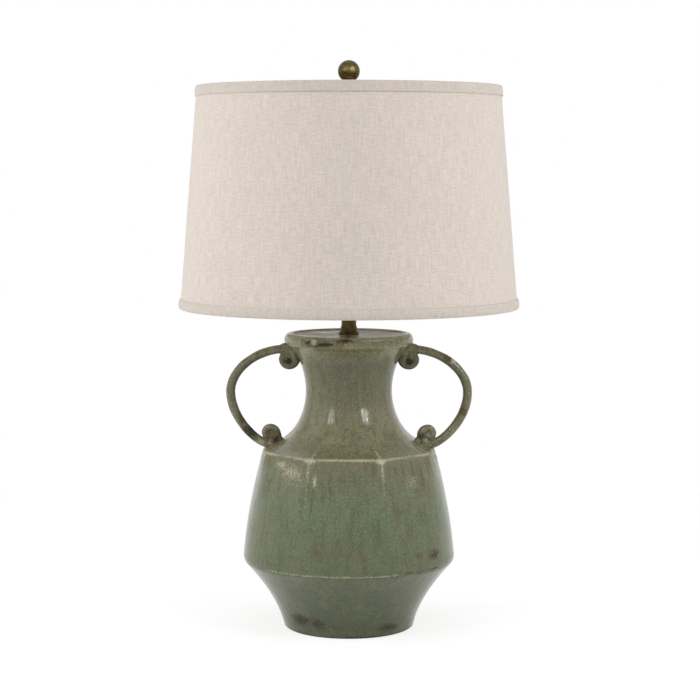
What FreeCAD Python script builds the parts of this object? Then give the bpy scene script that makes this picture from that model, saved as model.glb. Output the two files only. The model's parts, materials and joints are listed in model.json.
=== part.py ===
import FreeCAD, Part
import math
import os

# A two-handled ceramic table lamp with a drum shade, in millimetres.
# +Z is up, the front faces -Y and the handles lie along X.
# The origin is the middle of the felt pad's underside, where the lamp stands.

Vector = FreeCAD.Vector
UP = Vector(0, 0, 1)
RIGHT = Vector(1, 0, 0)
FRONT = Vector(0, -1, 0)

# Felt pad and foot
felt_thickness = 1.5
felt_inset = 0.6
foot_radius = 87.2
foot_rounding = 2.5
foot_ring_width = 7.0
foot_wall = 8.5
floor_underside = 19.5
floor_thickness = 7.0

# Outside of the ceramic body, band by band from the foot to the rim
foot_flare_height = 86.0
foot_flare_hollow = 7.2
belly_edge_radius = 139.4
belly_roll_height = 12.0
belly_roll_bulge = 1.2
belly_radius = 141.0
side_height = 138.0
side_bulge = 3.4
shoulder_radius = 114.4
shoulder_rise = 78.0
shoulder_spread = 20.5
waist_radius = 57.5
neck_flare_height = 61.2
neck_lip_spread = 4.3
neck_top_radius = 80.8
rim_thickness = 15.8
rim_overhang = 6.0
rim_top_radius = 79.3
dish_radius = 73.0
dish_depth = 1.8
top_plate_thickness = 7.0
ceramic_wall = 6.0

# Facets: how crisp the eight corners are on the shoulder crease, and how much is left at the waist
front_corner_crispness = 44.0
side_corner_crispness = 8.0
waist_facets = 0.1

# Handles: a coil of clay, bent in a C, with a scroll at each end
handle_reach = 158.3
handle_reach_height = 76.0
arm_radius = 6.2
scroll_start_radius = 5.5
scroll_coil_radius = 4.4
scroll_end_radius = 2.6
upper_scroll_size = 12.5
lower_scroll_size = 12.5
lower_scroll_inset = 5.6
lower_arm_sweep = 11.88
arm_under_rim = 0.3
luting_depth = 1.6

# Threaded rod and what clamps it under the floor
rod_radius = 4.8
rod_bore_radius = 3.2
rod_end_length = 3.0
rod_above_hub = 1.0
rod_hole_play = 1.4
thread_play = 0.05
washer_play = 0.3
base_washer_radius = 19.0
base_washer_thickness = 2.0
lock_washer_radius = 8.2
lock_washer_thickness = 1.6
lock_washer_gap = 1.2
nut_across_flats = 14.3
base_nut_thickness = 5.0

# Cord inlet at the back of the foot
inlet_bore_radius = 3.5
bushing_wall = 1.9
bushing_head_width = 2.4
bushing_head_thickness = 1.8
bushing_tail = 1.2
inlet_play = 0.1
spot_face_depth = 3.0

# Brass neck between the ceramic and the socket
neck_flange_radius = 13.3
neck_flange_height = 4.0
neck_collar_radius = 10.8
neck_collar_height = 6.8
neck_tube_radius = 9.9
neck_tube_wall = 0.8
neck_tube_length = 52.4
neck_spigot_height = 2.0
neck_cap_overhang = 0.8
neck_cap_thickness = 1.5

# Harp and its saddle
saddle_half_span = 27.0
saddle_width = 12.0
saddle_thickness = 1.2
saddle_bend_radius = 6.0
saddle_wing_height = 19.0
saddle_tip_width = 4.4
saddle_tip_length = 8.0
saddle_nut_thickness = 3.0
harp_height = 252.2
harp_half_width = 56.0
harp_wire_radius = 2.3
harp_leg_length = 26.0
harp_widest_height = 115.0
harp_plate_half_length = 12.0
harp_plate_width = 10.0
harp_plate_thickness = 2.2
harp_wire_gap = 9.0
stud_radius = 3.1
stud_length = 13.0
stud_collar_radius = 6.8
stud_collar_thickness = 1.6
stud_head_radius = 5.2
stud_head_thickness = 1.4
ferrule_length = 14.5
ferrule_wall = 1.2
sliding_play = 0.35

# Lamp socket
cap_hub_radius = 7.6
cap_hub_height = 6.0
cap_dome_height = 11.0
cap_skirt_height = 7.0
cap_radius = 17.2
cap_wall = 0.7
socket_part_play = 0.05
shell_wall = 0.5
shell_height = 40.0
shell_overlap = 6.0
liner_wall = 0.7
liner_setback = 1.0
insulator_height = 18.0
insulator_play = 0.1
set_screw_radius = 1.5
set_screw_head = 1.6
terminal_screw_radius = 1.5
terminal_head_radius = 3.0
terminal_head_thickness = 1.8
terminal_screw_length = 6.4
screw_shell_wall = 0.6
contact_radius = 4.0
contact_thickness = 2.5

# Turn switch
switch_height = 9.0
switch_shaft_radius = 1.9
switch_shaft_depth = 6.0
switch_hole_play = 2.1
switch_knob_radius = 5.2
switch_knob_length = 11.0
switch_knob_gap = 5.0
switch_knob_ribs = 12
switch_knob_groove = 0.5

# Bulb, a standard size
bulb_gap = 0.3
bulb_radius = 30.0
bulb_length = 108.0
bulb_wall = 0.8
bulb_base_radius = 12.9
bulb_base_wall = 0.3
bulb_base_height = 27.0
bulb_base_chamfer = 1.5
bulb_base_lip = 1.0
bulb_contact_height = 1.2
bulb_insulator_height = 3.0
bulb_insulator_radius = 10.0
bulb_neck_play = 0.1
bulb_neck_overlap = 14.0
stem_radius = 3.0
stem_height = 44.0
stem_foot_thickness = 2.0
filament_radius = 10.0
filament_height = 14.0
filament_wire_radius = 0.4

# Shade
shade_top_radius = 200.0
shade_bottom_radius = 223.8
shade_height = 292.5
spider_drop = 10.0
fabric_thickness = 0.8
lining_thickness = 0.5
trim_thickness = 1.5
trim_play = 0.15
top_trim_height = 14.0
bottom_trim_height = 13.0
bottom_trim_bulge = 2.8
trim_turn_in = 6.0
ring_wire_radius = 1.6
spider_washer_radius = 16.0
spider_washer_hole = 5.6
spider_washer_thickness = 1.9
spider_arm_radius = 2.0
spider_arms = 3
turning_gap = 0.1

# Finial
finial_base_radius = 8.0
finial_waist_radius = 5.0
finial_seat_radius = 6.5
finial_neck_height = 14.1
finial_ball_radius = 14.5
finial_ball_sink = 1.3
finial_thread_play = 0.08
finial_bore_spare = 1.0

# Heights that follow from the sizes above
foot_low = felt_thickness
flare_low = foot_low + foot_rounding
belly_low = flare_low + foot_flare_height
side_low = belly_low + belly_roll_height
shoulder_height = side_low + side_height
waist_height = shoulder_height + shoulder_rise
rim_low = waist_height + neck_flare_height
rim_top = rim_low + rim_thickness
dish_floor = rim_top - dish_depth
plate_underside = dish_floor - top_plate_thickness
floor_top = floor_underside + floor_thickness
washer_low = floor_underside - base_washer_thickness
lock_washer_low = washer_low - lock_washer_thickness
base_nut_low = lock_washer_low - base_nut_thickness
rod_low = base_nut_low - rod_end_length
inlet_height = (foot_low + floor_underside) / 2
collar_low = dish_floor + neck_flange_height
tube_low = collar_low + neck_collar_height
tube_top = tube_low + neck_tube_length
saddle_low = tube_top + neck_cap_thickness
saddle_top = saddle_low + saddle_thickness
cap_low = saddle_top + saddle_nut_thickness
hub_top = cap_low + cap_hub_height
dome_top = hub_top + cap_dome_height
cap_top = dome_top + cap_skirt_height
shell_low = cap_top - shell_overlap
shell_top = shell_low + shell_height
liner_low = shell_low + liner_setback
liner_top = shell_top - liner_setback
insulator_top = liner_low + insulator_height
switch_level = liner_low + switch_height
rod_top = hub_top + rod_above_hub
bulb_low = insulator_top + contact_thickness + bulb_gap
bulb_centre = bulb_low + bulb_length - bulb_radius
leg_low = saddle_low + saddle_wing_height
harp_seat = saddle_top + harp_height
shade_seat = harp_seat + turning_gap
shade_top = harp_seat + spider_drop
shade_bottom = shade_top - shade_height
panel_top = shade_top - trim_thickness
panel_bottom = shade_bottom + trim_thickness
finial_low = shade_seat + spider_washer_thickness + turning_gap
finial_seat = finial_low + finial_neck_height
ball_centre = finial_seat + finial_ball_radius - finial_ball_sink

# Radii that follow from the sizes above
rod_bore_play = rod_radius + thread_play
rod_hole_radius = rod_radius + rod_hole_play
neck_tube_inside = neck_tube_radius - neck_tube_wall
shell_radius = cap_radius - cap_wall - socket_part_play
liner_radius = shell_radius - shell_wall - socket_part_play
insulator_radius = liner_radius - liner_wall - insulator_play
screw_shell_radius = bulb_base_radius + sliding_play + screw_shell_wall


def save(name, shape):
    shape.exportStep("parts/" + name + ".step")


def cylinder(radius, low, high):
    return Part.makeCylinder(radius, high - low, Vector(0, 0, low))


def tube(outer, inner, low, high):
    return cylinder(outer, low, high).cut(cylinder(inner, low, high))


def turned(outline):
    # A solid of revolution about Z from a closed outline of (radius, height) corners
    corners = [Vector(radius, 0, height) for radius, height in outline]
    face = Part.Face(Part.makePolygon(corners + corners[:1]))
    return face.revolve(Vector(0, 0, 0), UP, 360)


def turned_edges(edges):
    face = Part.Face(Part.Wire(Part.__sortEdges__(edges)))
    return face.revolve(Vector(0, 0, 0), UP, 360)


def line(start, end):
    return Part.LineSegment(Vector(start[0], 0, start[1]), Vector(end[0], 0, end[1])).toShape()


def curve(*poles):
    bezier = Part.BezierCurve()
    bezier.setPoles([Vector(x, 0, z) for x, z in poles])
    return bezier


def hexagon(across_flats, low, high):
    corner = across_flats / 2 / math.cos(math.pi / 6)
    ring = [Vector(corner * math.cos(k * math.pi / 3), corner * math.sin(k * math.pi / 3), low) for k in range(7)]
    return Part.Face(Part.makePolygon(ring)).extrude(Vector(0, 0, high - low))


def nut(thickness, low):
    return hexagon(nut_across_flats, low, low + thickness).cut(cylinder(rod_bore_play, low, low + thickness))


def bowed(start, end, bulge, share):
    # A straight run from start to end that stands out by bulge at its middle
    return start + (end - start) * share + bulge * 4 * share * (1 - share)


# Outer radius of each band of the body at a share of its height, from its low edge to its high one
def foot_profile(share):
    return foot_radius - foot_rounding + foot_rounding * math.sqrt(1 - (1 - share) ** 2)


def flare_profile(share):
    return bowed(foot_radius, belly_edge_radius, -foot_flare_hollow, share)


def belly_profile(share):
    return bowed(belly_edge_radius, belly_radius, belly_roll_bulge, share)


def side_profile(share):
    return bowed(belly_radius, shoulder_radius, side_bulge, share)


def shoulder_profile(share):
    fall = 1 - share
    gentle = shoulder_radius - waist_radius - shoulder_spread
    return waist_radius + gentle * fall ** 2 + shoulder_spread * fall ** 7


def neck_profile(share):
    gentle = neck_top_radius - waist_radius - neck_lip_spread
    return waist_radius + gentle * share ** 2 + neck_lip_spread * share ** 8


def rim_profile(share):
    roll = rim_overhang * math.sqrt(max(0, 1 - (2 * share - 1) ** 2))
    return neck_top_radius + (rim_top_radius - neck_top_radius) * share + roll


def no_facets(share):
    return 0.0


def side_facets(share):
    return share ** 2


def shoulder_facets(share):
    return waist_facets + (1 - waist_facets) * (1 - share) ** 1.5


def neck_facets(share):
    return waist_facets * (1 - share)


# Each band: low edge, high edge, radius and facets
bands = [
    (foot_low, flare_low, foot_profile, no_facets),
    (flare_low, belly_low, flare_profile, no_facets),
    (belly_low, side_low, belly_profile, no_facets),
    (side_low, shoulder_height, side_profile, side_facets),
    (shoulder_height, waist_height, shoulder_profile, shoulder_facets),
    (waist_height, rim_low, neck_profile, neck_facets),
    (rim_low, rim_top, rim_profile, no_facets),
]


def body_radius(height):
    # Half the body's width across its flats at any height
    for low, high, profile, facets in bands:
        if height <= high:
            return profile(min(1, max(0, (height - low) / (high - low))))
    return rim_top_radius


def shoulder_level(radius):
    # The height at which the slope above the shoulder crease has this radius
    low, high = shoulder_height, waist_height
    for halving in range(30):
        middle = (low + high) / 2
        if body_radius(middle) > radius:
            low = middle
        else:
            high = middle
    return low


round_power = 6.0
points_per_corner = 12


def facet_power(angle, facets):
    # The front and back corners of the octagon are crisper than those beside the handles
    crispness = side_corner_crispness + (front_corner_crispness - side_corner_crispness) * math.sin(angle) ** 2
    return round_power + facets * (crispness - round_power)


def octagon_gauge(angle, power):
    # The power mean of the eight flats' distances: a circle at round_power, an octagon as it grows
    total = 0
    for flat in range(8):
        towards = math.cos(angle - flat * math.pi / 4)
        if towards > 0:
            total += towards ** power
    return total ** (1 / power)


def section(height, radius, facets):
    # One closed section of the body: points crowd towards the corners, where it bends most
    points = []
    turns = []
    for index in range(8 * points_per_corner):
        corner = (index // points_per_corner + 0.5) * math.pi / 4
        step = 2 * (index % points_per_corner) / points_per_corner - 1
        angle = corner + math.copysign(abs(step) ** 1.6, step) * math.pi / 8
        power = facet_power(angle, facets)
        reach = radius * octagon_gauge(0, power) / octagon_gauge(angle, power)
        points.append(Vector(reach * math.cos(angle), reach * math.sin(angle), height))
        turns.append(angle / (2 * math.pi))
    loop = Part.BSplineCurve()
    knots = [turn - turns[0] for turn in turns] + [1.0]
    loop.interpolate(Points=points, PeriodicFlag=True, Parameters=knots)
    return Part.Wire([loop.toShape()])


def even_shares(profile, height, steps):
    # Shares of a band's height that space its sections evenly along the outline
    fine = 200
    lengths = [0]
    for index in range(fine):
        widening = profile((index + 1) / fine) - profile(index / fine)
        lengths.append(lengths[-1] + math.hypot(widening, height / fine))
    shares = []
    for step in range(steps + 1):
        wanted = lengths[-1] * step / steps
        nearest = min(range(fine + 1), key=lambda index: abs(lengths[index] - wanted))
        shares.append(nearest / fine)
    return shares


def band_solid(low, high, profile, facets, steps):
    wires = []
    for share in even_shares(profile, high - low, steps):
        wires.append(section(low + (high - low) * share, profile(share), facets(share)))
    return Part.makeLoft(wires, True, False)


def body_outside():
    # How many steps the loft of each band takes
    loft_steps = (4, 6, 4, 8, 12, 6, 8)
    solids = [band_solid(*band, steps) for band, steps in zip(bands, loft_steps)]
    return solids[0].multiFuse(solids[1:]).Solids[0]


def cavity():
    # The hollow keeps an even wall: every point of the outline is moved in by ceramic_wall
    count = 36
    outline = [(0, plate_underside), (0, floor_top)]
    for index in range(count + 1):
        height = floor_top + (plate_underside - floor_top) * index / count
        reaches = []
        for step in range(-6, 7):
            lift = ceramic_wall * step / 6
            inward = ceramic_wall * math.sqrt(1 - (step / 6) ** 2)
            reaches.append(body_radius(height + lift) - inward)
        outline.append((min(reaches), height))
    return turned(outline)


def foot_recess():
    low_radius = foot_radius - foot_rounding - foot_ring_width
    high_radius = body_radius(floor_underside) - foot_wall
    return turned([(0, foot_low), (low_radius, foot_low), (high_radius, floor_underside), (0, floor_underside)])


def dish():
    slope = dish_radius - dish_depth
    return turned([(0, dish_floor), (slope, dish_floor), (dish_radius, rim_top), (0, rim_top)])


spot_face = body_radius(inlet_height) - spot_face_depth
bushing_radius = inlet_bore_radius + bushing_wall
bushing_head_radius = bushing_radius + bushing_head_width


def along_y(radius, near, far):
    # A round bar along +Y at the height of the cord inlet
    return Part.makeCylinder(radius, far - near, Vector(0, near, inlet_height), Vector(0, 1, 0))


def recess_radius(height):
    low_radius = foot_radius - foot_rounding - foot_ring_width
    high_radius = body_radius(floor_underside) - foot_wall
    return low_radius + (high_radius - low_radius) * (height - foot_low) / (floor_underside - foot_low)


def ceramic_body(outside):
    body = outside.cut(cavity()).cut(foot_recess()).cut(dish())
    body = body.cut(cylinder(rod_hole_radius, foot_low, rim_top))
    inside_edge = recess_radius(inlet_height) - bushing_head_width
    body = body.cut(along_y(bushing_radius + inlet_play, inside_edge, spot_face))
    return body.cut(along_y(bushing_head_radius + inlet_play, spot_face, belly_radius))


def cord_bushing():
    tail = recess_radius(inlet_height) - bushing_tail
    barrel = along_y(bushing_radius, tail, spot_face)
    head = along_y(bushing_head_radius, spot_face, spot_face + bushing_head_thickness)
    return barrel.fuse(head).cut(along_y(inlet_bore_radius, tail, spot_face + bushing_head_thickness)).removeSplitter()


# Handles. A station is (x, z, heading, coil radius) on the centre line, in the plane of the handles.
def curl(start_x, start_z, heading, side, bends, thick, thin):
    # Quarter circles of shrinking radius, walked from the arm towards the eye of the scroll
    steps = 4
    stations = []
    x, z = start_x, start_z
    total = len(bends) * steps
    for number, bend in enumerate(bends):
        centre_x = x - side * bend * math.sin(heading)
        centre_z = z + side * bend * math.cos(heading)
        for step in range(1, steps + 1):
            turned_to = heading + side * step / steps * math.pi / 2
            share = (number * steps + step) / total
            stations.append((
                centre_x + side * bend * math.sin(turned_to),
                centre_z - side * bend * math.cos(turned_to),
                turned_to,
                thick + (thin - thick) * share,
            ))
        x, z, heading = stations[-1][:3]
    return stations


def bent(bezier, steps, first_radius, last_radius):
    # Stations along a curve, with its ends
    stations = []
    for step in range(steps + 1):
        share = step / steps
        place = bezier.value(share)
        slope = bezier.tangent(share)[0]
        radius = first_radius + (last_radius - first_radius) * share
        stations.append((place.x, place.z, math.atan2(slope.z, slope.x), radius))
    return stations


def coil(stations):
    # A round coil through circles set square to the centre line
    wires = []
    for x, z, heading, radius in stations:
        circle = Part.Wire([Part.Circle(Vector(0, 0, 0), RIGHT, radius).toShape()])
        circle.rotate(Vector(0, 0, 0), Vector(0, 1, 0), -math.degrees(heading))
        circle.translate(Vector(x, 0, z))
        wires.append(circle)
    return Part.makeLoft(wires, True, False)


arm_level = rim_low - arm_under_rim - scroll_start_radius
upper_inner = body_radius(arm_level - upper_scroll_size) + scroll_coil_radius - luting_depth
upper_start = upper_inner + upper_scroll_size
lower_start = shoulder_radius - lower_scroll_inset
lower_level = shoulder_level(lower_start) + scroll_start_radius - luting_depth
reach_level = shoulder_height + handle_reach_height
upper_bends = [upper_scroll_size * share for share in (1.0, 0.82, 0.74)]
upper_eye_bends = [upper_scroll_size * share for share in (0.48, 0.30)]
lower_bends = [lower_scroll_size * share for share in (1.0, 0.74, 0.57)]
lower_eye_bends = [lower_scroll_size * share for share in (0.40, 0.27)]


def scroll_eye(stations, side, bends):
    # The innermost curl. It starts a little thinner, inside the end of the turn before it.
    step_in = 0.25
    first = [(x, z, heading, radius - step_in) for x, z, heading, radius in stations[-2:]]
    x, z, heading, radius = first[-1]
    return coil(first + curl(x, z, heading, side, bends, radius, scroll_end_radius))


def handle(outside):
    rise = arm_level - reach_level
    drop = reach_level - lower_level
    upper_arm = curve(
        (upper_start, arm_level),
        (upper_start + 0.55 * (handle_reach - upper_start), arm_level),
        (handle_reach, reach_level + 0.5 * rise),
        (handle_reach, reach_level),
    )
    lower_arm = curve(
        (handle_reach, reach_level),
        (handle_reach, reach_level - 0.55 * drop),
        (lower_start + lower_arm_sweep, lower_level),
        (lower_start, lower_level),
    )
    arm = bent(upper_arm, 12, scroll_start_radius, arm_radius)
    arm += bent(lower_arm, 12, arm_radius, scroll_start_radius)[1:]
    upper_scroll = [(upper_start, arm_level, math.pi, scroll_start_radius)]
    upper_scroll += curl(upper_start, arm_level, math.pi, 1, upper_bends, scroll_start_radius, scroll_coil_radius)
    lower_scroll = [(lower_start, lower_level, math.pi, scroll_start_radius)]
    lower_scroll += curl(lower_start, lower_level, math.pi, -1, lower_bends, scroll_start_radius, scroll_coil_radius)
    whole = coil(arm).fuse(coil(upper_scroll)).fuse(coil(lower_scroll))
    whole = whole.fuse(scroll_eye(upper_scroll, 1, upper_eye_bends))
    whole = whole.fuse(scroll_eye(lower_scroll, -1, lower_eye_bends))
    return whole.cut(outside).Solids[0]


def mirrored(shape):
    return shape.mirror(Vector(0, 0, 0), RIGHT)


def felt_pad():
    return cylinder(foot_radius - foot_rounding - felt_inset, 0, felt_thickness)


def base_washer():
    return tube(base_washer_radius, rod_radius + washer_play, washer_low, floor_underside)


def base_lock_washer():
    washer = tube(lock_washer_radius, rod_radius + washer_play, lock_washer_low, washer_low)
    split = Part.makeBox(lock_washer_radius, lock_washer_gap, lock_washer_thickness)
    split.translate(Vector(0, -lock_washer_gap / 2, lock_washer_low))
    return washer.cut(split)


def neck_flange():
    bore = rod_radius + washer_play
    spigot = neck_tube_inside - thread_play
    return turned([
        (bore, dish_floor),
        (neck_flange_radius, dish_floor),
        (neck_flange_radius, dish_floor + 0.7 * neck_flange_height),
        (neck_collar_radius, collar_low),
        (neck_collar_radius, tube_low),
        (spigot, tube_low),
        (spigot, tube_low + neck_spigot_height),
        (bore, tube_low + neck_spigot_height),
    ])


def neck_cap():
    bore = rod_radius + washer_play
    spigot = neck_tube_inside - thread_play
    return turned([
        (bore, tube_top - neck_spigot_height),
        (spigot, tube_top - neck_spigot_height),
        (spigot, tube_top),
        (neck_tube_radius + neck_cap_overhang, tube_top),
        (neck_tube_radius + neck_cap_overhang, saddle_low),
        (bore, saddle_low),
    ])


def arc(centre, radius, start_degrees, end_degrees):
    ends = []
    for degrees in (start_degrees, (start_degrees + end_degrees) / 2, end_degrees):
        angle = math.radians(degrees)
        ends.append(Vector(centre[0] + radius * math.cos(angle), 0, centre[1] + radius * math.sin(angle)))
    return Part.Arc(*ends).toShape()


def harp_saddle():
    # A flat strip bent up at both ends, with narrow tips for the harp's legs
    outer = saddle_half_span + saddle_thickness / 2
    inner = saddle_half_span - saddle_thickness / 2
    bend = saddle_bend_radius + saddle_thickness
    centre = (outer - bend, saddle_low + bend)
    edges = [
        line((0, saddle_low), (centre[0], saddle_low)),
        arc(centre, bend, -90, 0),
        line((outer, centre[1]), (outer, leg_low)),
        line((outer, leg_low), (inner, leg_low)),
        line((inner, leg_low), (inner, centre[1])),
        arc(centre, saddle_bend_radius, 0, -90),
        line((centre[0], saddle_top), (0, saddle_top)),
        line((0, saddle_top), (0, saddle_low)),
    ]
    half = Part.Face(Part.Wire(Part.__sortEdges__(edges))).extrude(Vector(0, saddle_width, 0))
    half.translate(Vector(0, -saddle_width / 2, 0))
    tip_low = leg_low - saddle_tip_length
    for side in (-1, 1):
        notch = Part.makeBox(2 * saddle_thickness, saddle_width, saddle_tip_length)
        offset = saddle_tip_width / 2 if side > 0 else -saddle_tip_width / 2 - saddle_width
        notch.translate(Vector(saddle_half_span - saddle_thickness, offset, tip_low))
        half = half.cut(notch)
    saddle = half.fuse(mirrored(half)).removeSplitter()
    return saddle.cut(cylinder(rod_radius + washer_play, saddle_low, saddle_top))


def harp_frame():
    # Two bent legs that meet in a flat plate under the stud
    wire_level = harp_seat - stud_collar_thickness - harp_plate_thickness / 2
    widest = leg_low + harp_widest_height
    leg_top = leg_low + harp_leg_length
    leg = [(saddle_half_span, leg_low + harp_leg_length * share, math.pi / 2, harp_wire_radius) for share in (0, 0.5)]
    spread = 0.4 * (widest - leg_top)
    outward = curve(
        (saddle_half_span, leg_top),
        (saddle_half_span, leg_top + spread),
        (harp_half_width, widest - spread),
        (harp_half_width, widest),
    )
    inward = curve(
        (harp_half_width, widest),
        (harp_half_width, widest + 0.62 * (wire_level - widest)),
        (0.62 * harp_half_width, wire_level),
        (harp_wire_gap, wire_level),
    )
    stations = leg + bent(outward, 8, harp_wire_radius, harp_wire_radius)
    stations += bent(inward, 14, harp_wire_radius, harp_wire_radius)[1:]
    right = coil(stations)
    plate = Part.makeBox(2 * harp_plate_half_length, harp_plate_width, harp_plate_thickness)
    plate.translate(Vector(-harp_plate_half_length, -harp_plate_width / 2, wire_level - harp_plate_thickness / 2))
    hole = cylinder(stud_radius + 2 * thread_play, wire_level - harp_wire_gap, wire_level + harp_wire_gap)
    return plate.fuse(right).fuse(mirrored(right)).cut(hole)


def harp_stud():
    plate_top = harp_seat - stud_collar_thickness
    plate_low = plate_top - harp_plate_thickness
    shank = stud_radius + thread_play
    return turned([
        (0, plate_low - stud_head_thickness),
        (stud_head_radius, plate_low - stud_head_thickness),
        (stud_head_radius, plate_low),
        (shank, plate_low),
        (shank, plate_top),
        (stud_collar_radius, plate_top),
        (stud_collar_radius, harp_seat),
        (stud_radius, harp_seat),
        (stud_radius, harp_seat + stud_length),
        (0, harp_seat + stud_length),
    ])


def harp_ferrule():
    low = leg_low - saddle_tip_length + sliding_play
    inner = harp_wire_radius + sliding_play
    ferrule = tube(inner + ferrule_wall, inner, low, low + ferrule_length)
    ferrule.translate(Vector(saddle_half_span, 0, 0))
    return ferrule


def beside(radius, near, far, height):
    # A round bar along +X
    return Part.makeCylinder(radius, far - near, Vector(near, 0, height), RIGHT)


set_screw_level = cap_low + cap_hub_height / 2


def socket_cap():
    inner = cap_radius - cap_wall
    cup_low = hub_top + cap_wall
    cap = turned([
        (rod_bore_play, cap_low),
        (cap_hub_radius, cap_low),
        (cap_hub_radius, hub_top),
        (0.8 * cap_radius, hub_top + 0.35 * cap_dome_height),
        (cap_radius, dome_top),
        (cap_radius, cap_top),
        (inner, cap_top),
        (inner, dome_top),
        (0.8 * cap_radius - cap_wall, cup_low + 0.35 * cap_dome_height),
        (cap_hub_radius - cap_wall, cup_low),
        (rod_bore_play, cup_low),
    ])
    return cap.cut(beside(set_screw_radius + thread_play, rod_radius, cap_radius, set_screw_level))


def socket_set_screw():
    shank = beside(set_screw_radius, rod_radius, cap_hub_radius, set_screw_level)
    head = beside(1.6 * set_screw_radius, cap_hub_radius, cap_hub_radius + set_screw_head, set_screw_level)
    return shank.fuse(head).removeSplitter()


def switch_bar(radius, near, far):
    # A round bar towards the front at the height of the switch
    return Part.makeCylinder(radius, far - near, Vector(0, -near, switch_level), FRONT)


def socket_shell():
    hole = switch_bar(switch_shaft_radius + switch_hole_play, 0, cap_radius)
    return tube(shell_radius, shell_radius - shell_wall, shell_low, shell_top).cut(hole)


def socket_liner():
    hole = switch_bar(switch_shaft_radius + switch_hole_play, 0, cap_radius)
    return tube(liner_radius, liner_radius - liner_wall, liner_low, liner_top).cut(hole)


# The terminal screws sit deep enough for the rims of their flat heads to clear the liner's round wall
terminal_reach = math.sqrt(insulator_radius ** 2 - terminal_head_radius ** 2)
terminal_seat = terminal_reach - terminal_head_thickness - insulator_play


def socket_insulator():
    block = cylinder(insulator_radius, liner_low, insulator_top)
    block = block.cut(switch_bar(switch_shaft_radius + thread_play, switch_shaft_depth, cap_radius))
    pocket = beside(terminal_head_radius + insulator_play, terminal_seat, cap_radius, switch_level)
    screw_hole = beside(terminal_screw_radius + thread_play, terminal_seat - terminal_screw_length, cap_radius, switch_level)
    for cutter in (pocket, screw_hole):
        block = block.cut(cutter).cut(mirrored(cutter))
    return block


def terminal_screws():
    head = beside(terminal_head_radius, terminal_seat, terminal_seat + terminal_head_thickness, switch_level)
    shank = beside(terminal_screw_radius, terminal_seat - terminal_screw_length, terminal_seat, switch_level)
    screw = head.fuse(shank).removeSplitter()
    return Part.makeCompound([screw, mirrored(screw)])


def socket_screw_shell():
    return tube(screw_shell_radius, screw_shell_radius - screw_shell_wall, insulator_top, liner_top)


def socket_contact():
    return turned([
        (0, insulator_top),
        (contact_radius, insulator_top),
        (contact_radius, insulator_top + 0.5 * contact_thickness),
        (0.5 * contact_radius, insulator_top + contact_thickness),
        (0, insulator_top + contact_thickness),
    ])


knob_near = cap_radius + switch_knob_gap
knob_far = knob_near + switch_knob_length


def switch_shaft():
    return switch_bar(switch_shaft_radius, switch_shaft_depth, knob_far - switch_knob_length / 4)


def switch_knob():
    knob = switch_bar(switch_knob_radius, knob_near, knob_far)
    for rib in range(switch_knob_ribs):
        angle = 2 * math.pi * rib / switch_knob_ribs
        groove = switch_bar(switch_knob_groove, knob_near, knob_far)
        groove.translate(Vector(switch_knob_radius * math.cos(angle), 0, switch_knob_radius * math.sin(angle)))
        knob = knob.cut(groove)
    return knob.cut(switch_shaft())


def bulb_outline(inset):
    # The outside of the glass, or its inside when inset by the wall
    neck = bulb_base_radius - bulb_base_wall - bulb_neck_play - inset
    low = bulb_low + bulb_base_height - bulb_neck_overlap
    shoulder = bulb_low + bulb_base_height
    ball = bulb_radius - inset
    meet = math.radians(-25)
    meet_x, meet_z = ball * math.cos(meet), bulb_centre + ball * math.sin(meet)
    pull = 0.4 * (meet_z - shoulder)
    swell = curve(
        (neck, shoulder),
        (neck, shoulder + pull),
        (meet_x + pull * math.sin(meet), meet_z - pull * math.cos(meet)),
        (meet_x, meet_z),
    )
    dome = arc((0, bulb_centre), ball, -25, 90)
    return neck, low, bulb_centre + ball, [line((neck, low), (neck, shoulder)), swell.toShape(), dome]


def bulb_glass():
    outer, low, top, outside_edges = bulb_outline(0)
    inner, low, inside_top, inside_edges = bulb_outline(bulb_wall)
    ends = [line((outer, low), (inner, low)), line((0, top), (0, inside_top))]
    return turned_edges(outside_edges + inside_edges + ends)


insulator_low = bulb_low + bulb_contact_height
bulb_shell_low = insulator_low + bulb_insulator_height


def bulb_base():
    inside = bulb_base_radius - bulb_base_wall
    lip = bulb_insulator_radius - bulb_base_lip
    chamfer_top = bulb_shell_low + bulb_base_chamfer
    return turned([
        (bulb_insulator_radius, bulb_shell_low),
        (bulb_base_radius, chamfer_top),
        (bulb_base_radius, bulb_low + bulb_base_height),
        (inside, bulb_low + bulb_base_height),
        (inside, chamfer_top + bulb_base_wall),
        (lip, bulb_shell_low + bulb_base_wall),
        (lip, bulb_shell_low),
    ])


def bulb_insulator():
    return turned([
        (0, insulator_low),
        (contact_radius, insulator_low),
        (bulb_insulator_radius, bulb_shell_low),
        (0, bulb_shell_low),
    ])


def bulb_contact():
    return turned([
        (0, bulb_low),
        (0.6 * contact_radius, bulb_low),
        (contact_radius, insulator_low),
        (0, insulator_low),
    ])


stem_low = bulb_low + bulb_base_height - bulb_neck_overlap
stem_top = stem_low + stem_height


def bulb_stem():
    foot = bulb_base_radius - bulb_base_wall - bulb_neck_play - bulb_wall - bulb_neck_play
    return turned([
        (0, stem_low),
        (foot, stem_low),
        (foot, stem_low + stem_foot_thickness),
        (stem_radius, stem_low + 3 * stem_foot_thickness),
        (stem_radius, stem_top),
        (0, stem_top),
    ])


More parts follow.
